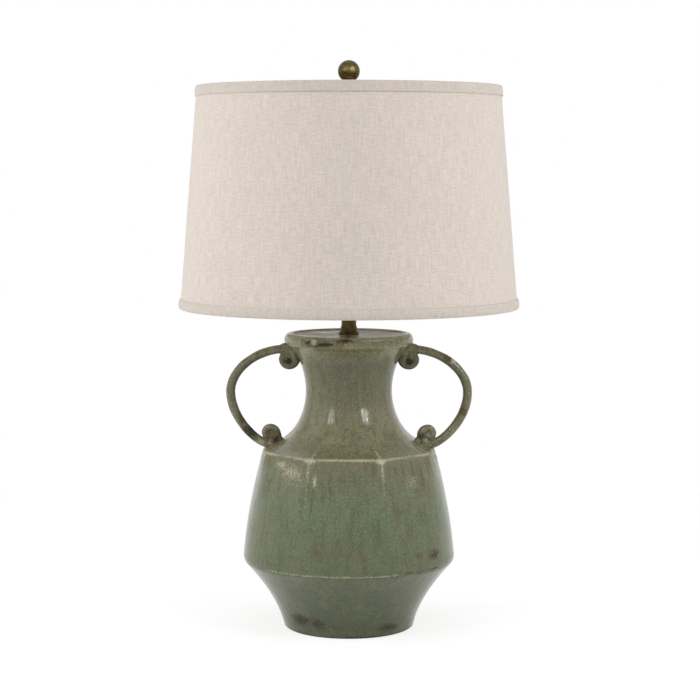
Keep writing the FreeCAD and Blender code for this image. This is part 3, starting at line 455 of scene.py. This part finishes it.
urnMesh = bpy.data.meshes.new("ceramicUrn")
bm = lathe(urnOutline(), urn["turnSteps"])
bm.to_mesh(urnMesh)
bm.free()
shapeUrn(urnMesh)
urnMesh = cutInlet(placeMesh(urnMesh, "ceramicUrn", glazeMaterial))
paintUrn(urnMesh)
ceramicUrn = placeMesh(urnMesh, "ceramicUrn", glazeMaterial, 42)
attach(ceramicUrn, "root")
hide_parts("ceramic_body")
print("urn:", len(urnMesh.vertices), "points")


scroll = {
    "upperStart": (82.387, 373.4), "lowerStart": (108.8, 246.04), "reach": (158.3, 316.0),
    "upperBends": (12.5, 10.25, 9.25, 6.0, 3.75), "lowerBends": (12.5, 9.25, 7.12, 5.0, 3.38),
    "startRadius": 5.5, "armRadius": 6.2, "coilRadius": 4.4, "eyeRadius": 2.6,
    "voxel": 0.95, "coilSteps": 14, "armSteps": 60,
    # each scroll's last quarter turns are pressed shut by a dab; the front left scroll is rolled into a ball
    "eyeQuarters": 3, "eyeDab": (6.0, 2.8, 6.0), "ballDab": (98.5, 256.5, 8.2, 5.8, 8.4),
    # dabs of slip where the coil is luted on: x, z, half sizes x, y, z
    "dabs": [(72.5, 362, 5.5, 6.5, 8.0), (83.0, 377.5, 9.0, 5.5, 4.0), (104.0, 244.5, 12.0, 6.5, 4.5),
             (92.5, 250.0, 5.0, 6.0, 6.0), (79.6, 357.3, 5.8, 2.9, 5.6)],
    # painted spots: side, kind, x, z, radius, strength
    "spots": [
        # the dark spots at 79.6, 357.5 on each side and at 98, 257 on the right are painted shade in the
        # scrolls' eyes
        (1, "rust", 133, 364, 8, 0.80), (1, "dark", 136, 362, 4, 0.60), (1, "rust", 153, 290, 7, 0.75),
        (1, "cream", 139, 358, 4, 0.62), (1, "dark", 98, 257, 6, 0.70), (1, "dark", 79.6, 357.5, 4.6, 0.95),
        (-1, "dark", 132, 262, 15, 0.66), (-1, "rust", 142, 280, 10, 0.66), (-1, "rust", 102, 257, 12, 0.72),
        (-1, "dark", 96, 250, 7, 0.75), (-1, "dark", 79.6, 357.5, 4.6, 0.95),
        (-1, "cream", 118, 248, 5, 0.48),
    ],
}


def bezier(a, b, c, d, share):
    left = 1 - share
    return [left ** 3 * a[i] + 3 * left ** 2 * share * b[i] + 3 * left * share ** 2 * c[i] + share ** 3 * d[i]
            for i in (0, 1)]


def curl(start, side, bends):
    # quarter circles of shrinking radius, from the arm to the eye of the scroll
    x, z = start
    heading = math.pi
    steps = scroll["coilSteps"]
    path = []
    for number, bend in enumerate(bends):
        centreX = x - side * bend * math.sin(heading)
        centreZ = z + side * bend * math.cos(heading)
        for step in range(1, steps + 1):
            turned = heading + side * step / steps * math.pi / 2
            share = (number + step / steps) / 3
            radius = scroll["startRadius"] + (scroll["coilRadius"] - scroll["startRadius"]) * min(1, share)
            if number > 2:
                taper = scroll["eyeRadius"] - scroll["coilRadius"]
                radius = scroll["coilRadius"] + taper * (share - 1) * 1.5
            placeX = centreX + side * bend * math.sin(turned)
            path.append((placeX, centreZ - side * bend * math.cos(turned), radius))
        x, z = path[-1][:2]
        heading = turned
    return path


def handlePath():
    top, low, reach = scroll["upperStart"], scroll["lowerStart"], scroll["reach"]
    rise, drop = top[1] - reach[1], reach[1] - low[1]
    upper = (top, (top[0] + 0.55 * (reach[0] - top[0]), top[1]), (reach[0], reach[1] + 0.5 * rise), reach)
    lower = (reach, (reach[0], reach[1] - 0.55 * drop), (low[0] + 0.24 * (reach[0] - low[0]), low[1]), low)
    path = curl(top, 1, scroll["upperBends"])[::-1]
    steps = scroll["armSteps"]
    thin, thick = scroll["startRadius"], scroll["armRadius"]
    for k in range(steps + 1):
        path.append((*bezier(*upper, k / steps), thin + (thick - thin) * k / steps))
    for k in range(1, steps + 1):
        path.append((*bezier(*lower, k / steps), thick + (thin - thick) * k / steps))
    return path + curl(low, -1, scroll["lowerBends"])


def makeHandle(name, side):
    curve = bpy.data.curves.new(name, "CURVE")
    curve.dimensions = "3D"
    curve.bevel_depth = mm
    curve.bevel_resolution = 6
    curve.use_fill_caps = True
    path = handlePath()
    line = curve.splines.new("POLY")
    line.points.add(len(path) - 1)
    for point, (x, z, radius) in zip(line.points, path):
        drift = 0.5 * noise.noise(Vector((x / 30, z / 30, 4 * side)))
        point.co = (side * x * mm, drift * mm, z * mm, 1)
        point.radius = radius * (1 + 0.05 * noise.noise(Vector((x / 17, z / 17, 9 + side))))
    coil = bpy.data.objects.new(name, curve)
    bpy.context.scene.collection.objects.link(coil)
    bm = bmesh.new()
    bm.from_mesh(finished(coil))
    dabs = list(scroll["dabs"])
    count = scroll["eyeQuarters"] * scroll["coilSteps"]
    for eyeRun in (path[:count], path[-count:]):
        middle = [sum(place[i] for place in eyeRun) / count for i in (0, 1)]
        dabs.append((*middle, *scroll["eyeDab"]))
    dabs += [scroll["ballDab"]] if side < 0 else []
    for x, z, halfX, halfY, halfZ in dabs:
        bmesh.ops.create_icosphere(bm, subdivisions=3, radius=1.0,
                                   matrix=Matrix.Translation((side * x * mm, 0, z * mm))
                                   @ Matrix.Diagonal((halfX * mm, halfY * mm, halfZ * mm, 1)))
    bmesh.ops.recalc_face_normals(bm, faces=bm.faces)
    rough = makePiece(bm, name, glazeMaterial)
    skin = rough.modifiers.new("skin", "REMESH")
    skin.mode = "VOXEL"
    skin.voxel_size = scroll["voxel"] * mm
    soft = rough.modifiers.new("soft", "SMOOTH")
    soft.factor = 0.5
    soft.iterations = 4
    mesh = finished(rough)
    points = readPoints(mesh)
    normals = np.array([vertex.normal for vertex in mesh.vertices])
    points += normals * (0.16 + 0.22 * clouds(points, 13.0, 2.0 + side))[:, None]
    writePoints(mesh, points)
    amounts = {kind: np.zeros(len(points)) for kind in ("cream", "rust", "dark")}
    for spotSide, kind, x, z, size, strength in scroll["spots"]:
        if spotSide == side:
            here = strength * np.exp(-((side * points[:, 0] - x) ** 2 + (points[:, 2] - z) ** 2) / size ** 2)
            amounts[kind] = np.maximum(amounts[kind], here)
    paint(mesh, amounts)
    piece = placeMesh(mesh, name, glazeMaterial, 60)
    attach(piece, "root")
    print(name + ":", len(mesh.vertices), "points")
    return piece


handleRight = makeHandle("scrollHandleRight", 1)
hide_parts("handle_right")
handleLeft = makeHandle("scrollHandleLeft", -1)
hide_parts("handle_left")


def makeFelt():
    # Pressed wool felt, die-cut: matt and slightly hairy
    material, tree, shader = startMaterial("pressedWoolFelt", Roughness=0.95, Sheen_Weight=0.3)
    place = addNode(tree, "TexCoord").outputs["Object"]
    hairs = addNode(tree, "TexNoise", None, {"Vector": place, "Scale": 1400.0, "Detail": 4.0}).outputs[0]
    tone = addNode(tree, "ValToRGB", None, {0: hairs}, [(0.3, "15140F"), (0.7, "2B2822")]).outputs[0]
    bump = addNode(tree, "Bump", None, {"Strength": 0.5, "Distance": 0.0002, "Height": hairs}).outputs[0]
    tree.links.new(tone, shader.inputs["Base Color"])
    tree.links.new(bump, shader.inputs["Normal"])
    return material


felt = {
    "turnSteps": 128,
    "outline": [(0.01, 0.02), (83.4, 0.02), (83.95, 0.3), (84.1, 0.75), (83.95, 1.25), (83.5, 1.48),
                (0.01, 1.48)],
}
feltDisc = makePiece(lathe(felt["outline"], felt["turnSteps"]), "feltDisc", makeFelt())
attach(feltDisc, "root")
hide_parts("felt_pad")


drum = {
    "top": 721.3, "bottom": 428.8, "topRadius": 200.0, "bottomRadius": 223.8,
    "panelLow": 430.3, "panelHigh": 719.8, "thickness": 0.8, "turnSteps": 256,
    "slackSize": 70.0, "slack": 0.32, "slackFade": (444, 706, 30), "seamWidth": 12.0,
    "stitchCount": 420, "stitchLevel": 443.2, "stitchLength": 2.3,
}
linen = {
    "light": "DACFC5", "deep": "CBC0B5", "slub": "E5DBD2", "threadPitch": 2.2, "twillPitch": 3.3,
}


def makeLinen(name, twill=0.30, run=11, dim=1.0):
    # Undyed linen, plain woven: matt, with uneven threads and slubs.
    # Its real threads are about 0.6 mm apart, so they are drawn 2.2 mm apart here to show.
    material, tree, shader = startMaterial(name, Roughness=0.9, Sheen_Weight=0.25, Sheen_Roughness=0.4)
    cloth = addNode(tree, "UVMap", {"uv_map": "cloth"}).outputs[0]
    pitch = linen["threadPitch"]
    threads = []
    for across, along in ((1 / pitch, 0.5 / run), (1 / run, 1 / pitch)):
        spread = addNode(tree, "Mapping", None, {"Vector": cloth, "Scale": (across, along, 1)}).outputs[0]
        threads.append(addNode(tree, "TexNoise", None, {"Vector": spread, "Scale": 1.0, "Detail": 2.5,
                                                        "Roughness": 0.6}).outputs[0])
    weave = addNode(tree, "Math", {"operation": "ADD"}, {0: threads[0], 1: threads[1]}).outputs[0]
    turned = addNode(tree, "Mapping", None,
                     {"Vector": cloth, "Rotation": (0, 0, math.radians(-45))}).outputs[0]
    ribs = addNode(tree, "TexWave", {"bands_direction": "X"},
                   {"Vector": turned, "Scale": 2 * math.pi / 20 / linen["twillPitch"], "Distortion": 0.6,
                    "Detail": 1.0, "Detail Scale": 0.02}).outputs["Fac"]
    weave = addNode(tree, "Math", {"operation": "MULTIPLY_ADD"}, {0: ribs, 1: twill, 2: weave}).outputs[0]
    share = addNode(tree, "MapRange", None, {"Value": weave, "From Min": 0.66 + twill / 2,
                                             "From Max": 1.40 + twill / 2}).outputs[0]
    tone = addNode(tree, "ValToRGB", None, {0: share},
                   [(0.0, linen["deep"]), (0.55, linen["light"]), (1.0, linen["slub"])]).outputs[0]
    patches = addNode(tree, "TexNoise", None, {"Vector": cloth, "Scale": 1 / 90, "Detail": 2.0}).outputs[0]
    warmth = addNode(tree, "MapRange", None, {"Value": patches, "To Min": 0.965 * dim,
                                              "To Max": 1.035 * dim}).outputs[0]
    tone = addNode(tree, "HueSaturation", None, {"Value": warmth, "Color": tone}).outputs[0]
    bump = addNode(tree, "Bump", None, {"Strength": 0.35, "Distance": 0.0005, "Height": weave}).outputs[0]
    tree.links.new(tone, shader.inputs["Base Color"])
    tree.links.new(bump, shader.inputs["Normal"])
    return material


linenMaterial = makeLinen("wovenLinen")
tapeMaterial = makeLinen("linenTape", 0.0, 6, 0.90)


def panelRadius(height):
    share = (drum["top"] - height) / (drum["top"] - drum["bottom"])
    return drum["topRadius"] + (drum["bottomRadius"] - drum["topRadius"]) * share


def mapCloth(mesh, radius=212.0):
    # cloth coordinates in millimetres: round the shade, and up it
    layer = mesh.uv_layers.new(name="cloth")
    points = readPoints(mesh)
    around = np.arctan2(points[:, 0], -points[:, 1])
    reach = np.hypot(points[:, 0], points[:, 1])
    up = points[:, 2] + np.array([panelRadius(height) for height in points[:, 2]]) - reach
    for face in mesh.polygons:
        turns = [around[v] for v in face.vertices]
        if max(turns) - min(turns) > math.pi:
            turns = [turn + 2 * math.pi if turn < 0 else turn for turn in turns]
        for loop, vertex, turn in zip(face.loop_indices, face.vertices, turns):
            layer.data[loop].uv = (turn * radius, up[vertex])


def makeClothRing(name, outline, material, slack, slackSize, fadeFrom=None):
    bm = lathe(outline, drum["turnSteps"])
    mesh = bpy.data.meshes.new(name)
    bm.to_mesh(mesh)
    bm.free()
    mapCloth(mesh)
    points = readPoints(mesh)
    reach = np.hypot(points[:, 0], points[:, 1])
    drift = slack * clouds(points, slackSize, 6.0)
    if fadeFrom:
        low, high, width = fadeFrom
        drift *= np.clip((points[:, 2] - low) / width, 0, 1) * np.clip((high - points[:, 2]) / width, 0, 1)
    points[:, :2] *= (1 + drift / reach)[:, None]
    writePoints(mesh, points)
    piece = placeMesh(mesh, name, material, 60)
    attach(piece, "shade")
    return piece


low, high = drum["panelLow"], drum["panelHigh"]
rows = [low + (high - low) * k / 64 for k in range(65)]
panelOutline = [(panelRadius(height), height) for height in rows]
panelOutline += [(panelRadius(height) - drum["thickness"], height) for height in rows[::-16]]
linenPanel = makeClothRing("linenPanel", panelOutline, linenMaterial, drum["slack"], drum["slackSize"],
                           drum["slackFade"])
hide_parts("shade_fabric")

# the panel's lapped seam, up the back
bm = bmesh.new()
bmesh.ops.create_grid(bm, x_segments=6, y_segments=48, size=0.5)
for vertex in bm.verts:
    height = low + 8 + (high - low - 16) * (vertex.co.y + 0.5)
    turn = vertex.co.x * drum["seamWidth"] / panelRadius(height)
    lift = 0.55 - 0.35 * abs(2 * vertex.co.x) ** 3
    reach = (panelRadius(height) + lift) * mm
    vertex.co = (-reach * math.sin(turn), reach * math.cos(turn), height * mm)
bmesh.ops.recalc_face_normals(bm, faces=bm.faces)
bmesh.ops.solidify(bm, geom=bm.faces[:] + bm.edges[:] + bm.verts[:], thickness=0.4 * mm)
bmesh.ops.recalc_face_normals(bm, faces=bm.faces)
seamMesh = bpy.data.meshes.new("linenSeam")
bm.to_mesh(seamMesh)
bm.free()
mapCloth(seamMesh)
linenSeam = placeMesh(seamMesh, "linenSeam", linenMaterial, 60)
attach(linenSeam, "shade")

# the folded tape over the top edge
innerTop = 194.9
topOutline = [(panelRadius(707.4) + 0.2, 707.45), (panelRadius(707.3) + 0.9, 707.3),
              (panelRadius(707.5) + 1.45, 707.6)]
for k in range(1, 12):
    height = 707.6 + (719.4 - 707.6) * k / 12
    topOutline.append((panelRadius(height) + 1.5 + 0.45 * math.sin(math.pi * k / 12), height))
topOutline += [(panelRadius(719.4) + 1.5, 719.6), (panelRadius(720.6) + 1.2, 720.6),
               (panelRadius(721.2) + 0.3, 721.2), (198.0, 721.3), (196.0, 721.28), (innerTop - 0.4, 721.0),
               (innerTop - 1.3, 720.2), (innerTop - 1.5, 718.5), (innerTop - 1.4, 715.5),
               (innerTop - 0.2, 715.4), (innerTop, 719.9), (panelRadius(719.95) + 0.1, 719.95)]
topBand = makeClothRing("topBand", topOutline, tapeMaterial, 0.12, 24.0)
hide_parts("shade_top_trim")

# the rolled hem round the bottom edge
bottomOutline = []
for k in range(19):
    share = k / 18
    x, z = bezier((panelRadius(441.8) + 0.2, 441.8), (panelRadius(441.8) + 3.6, 441.9),
                  (panelRadius(430.3) + 3.7, 428.8), (panelRadius(428.8) - 0.2, 428.8), share)
    bottomOutline.append((x, z))
bottomOutline += [(222.0, 428.8), (219.6, 428.85), (218.4, 429.3), (217.6, 430.4), (217.6, 434.6),
                  (218.9, 434.7), (219.0, 430.2), (panelRadius(430.2) + 0.15, 430.15)]
bottomHem = makeClothRing("bottomHem", bottomOutline, tapeMaterial, 0.22, 15.0)
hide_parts("shade_bottom_trim")

# the row of stitches above the hem
bm = bmesh.new()
for k in range(drum["stitchCount"]):
    turn = 2 * math.pi * k / drum["stitchCount"]
    reach = (panelRadius(drum["stitchLevel"]) + 0.12) * mm
    stitch = (reach * math.cos(turn), reach * math.sin(turn), drum["stitchLevel"] * mm)
    bmesh.ops.create_icosphere(bm, subdivisions=1, radius=1.0,
                               matrix=Matrix.Translation(stitch)
                               @ Matrix.Rotation(turn + math.pi / 2, 4, "Z")
                               @ Matrix.Diagonal((drum["stitchLength"] / 2 * mm, 0.3 * mm, 0.42 * mm, 1)))


def makeThread():
    # Spun cotton sewing thread, undyed
    material, tree, shader = startMaterial("cottonThread", Roughness=0.8)
    place = addNode(tree, "TexCoord").outputs["Object"]
    twist = addNode(tree, "TexNoise", None, {"Vector": place, "Scale": 900.0, "Detail": 2.0}).outputs[0]
    tone = addNode(tree, "ValToRGB", None, {0: twist}, [(0.3, "DDD4C6"), (0.7, "F2ECE1")]).outputs[0]
    tree.links.new(tone, shader.inputs["Base Color"])
    return material


hemStitches = makePiece(bm, "hemStitches", makeThread(), 80)
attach(hemStitches, "shade")

print("shade: panel, seam, band, hem and stitches")


def makeMetal(name, dark, light, rough, grainSize, stretch, spots=0.0, spotTint="2A2418"):
    # dark and light are the metal's two tones; stretch drags the brushing along one way
    material, tree, shader = startMaterial(name, Metallic=1.0)
    place = addNode(tree, "TexCoord").outputs["Object"]
    scale = tuple(1000 / grainSize / s for s in stretch)
    spread = addNode(tree, "Mapping", None, {"Vector": place, "Scale": scale}).outputs[0]
    brushing = addNode(tree, "TexNoise", None, {"Vector": spread, "Scale": 1.0, "Detail": 3.0,
                                                "Roughness": 0.6}).outputs[0]
    tone = addNode(tree, "ValToRGB", None, {0: brushing}, [(0.3, dark), (0.7, light)]).outputs[0]
    blots = addNode(tree, "TexNoise", None, {"Vector": place, "Scale": 160.0, "Detail": 5.0}).outputs[0]
    amount = addNode(tree, "MapRange", None, {"Value": blots, "From Min": 0.45, "From Max": 0.75,
                                              "To Max": spots}).outputs[0]
    tone = addNode(tree, "Mix", {"data_type": "RGBA"}, {0: amount, 6: tone, 7: colour(spotTint)}).outputs[2]
    dull = addNode(tree, "MapRange", None, {"Value": brushing, "To Min": rough - 0.08,
                                            "To Max": rough + 0.10}).outputs[0]
    bump = addNode(tree, "Bump", None, {"Strength": 0.25, "Distance": 0.0001, "Height": brushing}).outputs[0]
    tree.links.new(tone, shader.inputs["Base Color"])
    tree.links.new(dull, shader.inputs["Roughness"])
    tree.links.new(bump, shader.inputs["Normal"])
    return material


def makePlain(name, dark, light, rough, size, relief, **fixed):
    # a moulded or pressed surface with a fine mottle
    material, tree, shader = startMaterial(name, **fixed)
    place = addNode(tree, "TexCoord").outputs["Object"]
    mottle = addNode(tree, "TexNoise", None,
                     {"Vector": place, "Scale": 1000 / size, "Detail": 4.0}).outputs[0]
    tone = addNode(tree, "ValToRGB", None, {0: mottle}, [(0.3, dark), (0.7, light)]).outputs[0]
    dull = addNode(tree, "MapRange", None, {"Value": mottle, "To Min": rough - 0.06,
                                            "To Max": rough + 0.06}).outputs[0]
    bump = addNode(tree, "Bump", None, {"Strength": relief, "Distance": 0.0001, "Height": mottle}).outputs[0]
    tree.links.new(tone, shader.inputs["Base Color"])
    tree.links.new(dull, shader.inputs["Roughness"])
    tree.links.new(bump, shader.inputs["Normal"])
    return material


finishes = {
    # brass, patinated dark and brushed round the lathe; brass, lacquered; steel, zinc plated
    "antique_brass": makeMetal("patinatedBrass", "40381F", "6E613C", 0.33, 0.9, (6, 6, 1), 0.60),
    "lacquered_brass": makeMetal("lacqueredBrass", "B08D45", "D2B06A", 0.26, 0.8, (5, 5, 1), 0.12, "7A5F2C"),
    "zinc_steel": makeMetal("zincPlatedSteel", "9DA0A2", "C6C8C9", 0.34, 1.2, (1, 1, 1), 0.2, "6E7072"),
    "aluminium_shell": makeMetal("drawnAluminium", "B4B5B6", "D8D9DA", 0.30, 0.8, (5, 5, 1), 0.1, "8C8D8E"),
    "filament_wire": makeMetal("tungstenWire", "55524E", "7C7873", 0.45, 0.5, (1, 1, 1)),
    # phenolic, moulded; vulcanised fibre, pressed; black glass; styrene, calendered; wire, powder coated
    "black_plastic": makePlain("mouldedPhenolic", "15130F", "24211C", 0.34, 3.0, 0.15),
    "fibre_board": makePlain("vulcanisedFibre", "4E4234", "6C5D4A", 0.82, 1.5, 0.5),
    "black_glass": makePlain("pressedBlackGlass", "0B0B0C", "151516", 0.14, 6.0, 0.05),
    "styrene": makePlain("calenderedStyrene", "E6E3DA", "F0EDE6", 0.48, 14.0, 0.1),
    "white_wire": makePlain("powderCoatedWire", "D5D3CC", "E6E4DE", 0.42, 1.6, 0.4),
    # soda glass, blown; lead glass, drawn
    "bulb_glass": makePlain("blownGlass", "F4F5F4", "FBFCFB", 0.09, 20.0, 0.02,
                            Transmission_Weight=1.0, IOR=1.5),
    "clear_glass": makePlain("drawnGlass", "EAF0EC", "F4F8F5", 0.08, 9.0, 0.05,
                             Transmission_Weight=1.0, IOR=1.56),
}
for entry in frame["record"]["subparts"]:
    if entry["material_slot"] in finishes:
        for slot in nodes[entry["node"]].material_slots:
            slot.material = finishes[entry["material_slot"]]
print("hard parts:", len(finishes), "finishes")


# the camera's place round the lamp in degrees and metres
camera = {
    "turn": 2.2, "lift": 5.3, "distance": 2.6667, "aim": (0, 0, 0.372), "lens": 102.857, "shift": 0.0016,
}
studio = {
    "worldLight": 0.53, "floorRadius": 9.0, "floorFade": (0.35, 1.3), "floorShade": 0.40, "floorGlow": 0.72,
}
lamps = [
    # degrees right of the camera and up, then metres away, width, height, and watts
    # the two glints show only as reflections in the glaze and the metal
    ("keyRight", 42, 33, 2.2, 0.60, 0.60, 9.0),
    ("keyLeft", -36, 33, 2.2, 0.50, 0.60, 5.5),
    ("glintRight", 42, 33, 2.2, 1.00, 0.66, 48.0),
    ("glintLeft", -36, 33, 2.2, 0.95, 0.70, 24.0),
    ("sideLeft", -86, 12, 2.4, 1.2, 1.8, 23.0),
    ("sideRight", 86, 12, 2.4, 1.2, 1.8, 14.0),
]


def around(turn, lift, distance, aim):
    across = math.radians(camera["turn"] + turn)
    up = math.radians(lift)
    away = Vector((math.sin(across) * math.cos(up), -math.cos(across) * math.cos(up), math.sin(up)))
    return Vector(aim) + away * distance, away.to_track_quat("Z", "Y").to_euler()


for name, turn, lift, distance, width, tall, watts in lamps:
    light = bpy.data.lights.new(name, "AREA")
    light.shape = "RECTANGLE"
    light.size = width
    light.size_y = tall
    light.energy = watts
    lamp = bpy.data.objects.new(name, light)
    lamp.location, lamp.rotation_euler = around(turn, lift, distance, (0, 0, 0.35))
    lamp.visible_glossy = name.startswith("glint")
    lamp.visible_diffuse = not lamp.visible_glossy
    bpy.context.scene.collection.objects.link(lamp)


def lookedAt(tree):
    # 1 where the camera, a reflection or a refraction looks straight at the backdrop
    rays = addNode(tree, "LightPath").outputs
    shown = rays["Is Camera Ray"]
    for ray in ("Is Glossy Ray", "Is Transmission Ray"):
        shown = addNode(tree, "Math", {"operation": "MAXIMUM"}, {0: shown, 1: rays[ray]}).outputs[0]
    return shown


world = bpy.data.worlds.new("studio")
bpy.context.scene.world = world
world.use_nodes = True
tree = world.node_tree
strength = addNode(tree, "MapRange", None, {"Value": lookedAt(tree), "To Min": studio["worldLight"],
                                            "To Max": 1.0}).outputs[0]
sky = tree.nodes["Background"]
sky.inputs["Color"].default_value = (1, 1, 1, 1)
tree.links.new(strength, sky.inputs["Strength"])

bm = bmesh.new()
bmesh.ops.create_circle(bm, cap_ends=True, segments=96, radius=studio["floorRadius"])
floorMaterial = bpy.data.materials.new("paperFloor")
floorMaterial.use_nodes = True
tree = floorMaterial.node_tree
tree.nodes.clear()
place = addNode(tree, "TexCoord").outputs["Object"]
away = addNode(tree, "VectorMath", {"operation": "LENGTH"}, {0: place}).outputs["Value"]
fadeFrom, fadeTo = studio["floorFade"]
far = addNode(tree, "MapRange", {"interpolation_type": "SMOOTHSTEP"},
              {"Value": away, "From Min": fadeFrom, "From Max": fadeTo}).outputs[0]
paper = addNode(tree, "BsdfDiffuse", None, {"Color": (0.85, 0.85, 0.84, 1)}).outputs[0]
grey = studio["floorShade"]
shadow = addNode(tree, "BsdfDiffuse", None, {"Color": (grey, grey, grey, 1)}).outputs[0]
glow = addNode(tree, "Emission", None, {"Strength": studio["floorGlow"]}).outputs[0]
near = addNode(tree, "AddShader", None, {0: shadow, 1: glow}).outputs[0]
white = addNode(tree, "Emission", None, {"Strength": 1.0}).outputs[0]
backdrop = addNode(tree, "MixShader", None, {0: far, 1: near, 2: white}).outputs[0]
both = addNode(tree, "MixShader", None, {0: lookedAt(tree), 1: paper, 2: backdrop}).outputs[0]
addNode(tree, "OutputMaterial", None, {"Surface": both})
floor = makePiece(bm, "studioFloor", floorMaterial)

view = bpy.data.cameras.new("studioCamera")
view.lens = camera["lens"]
view.sensor_width = 36
view.shift_x = camera["shift"]
view.clip_end = 60
eye = bpy.data.objects.new("studioCamera", view)
eye.location, eye.rotation_euler = around(0, camera["lift"], camera["distance"], camera["aim"])
bpy.context.scene.collection.objects.link(eye)
bpy.context.scene.camera = eye
bpy.context.scene.view_settings.view_transform = "Standard"

print("stage set")
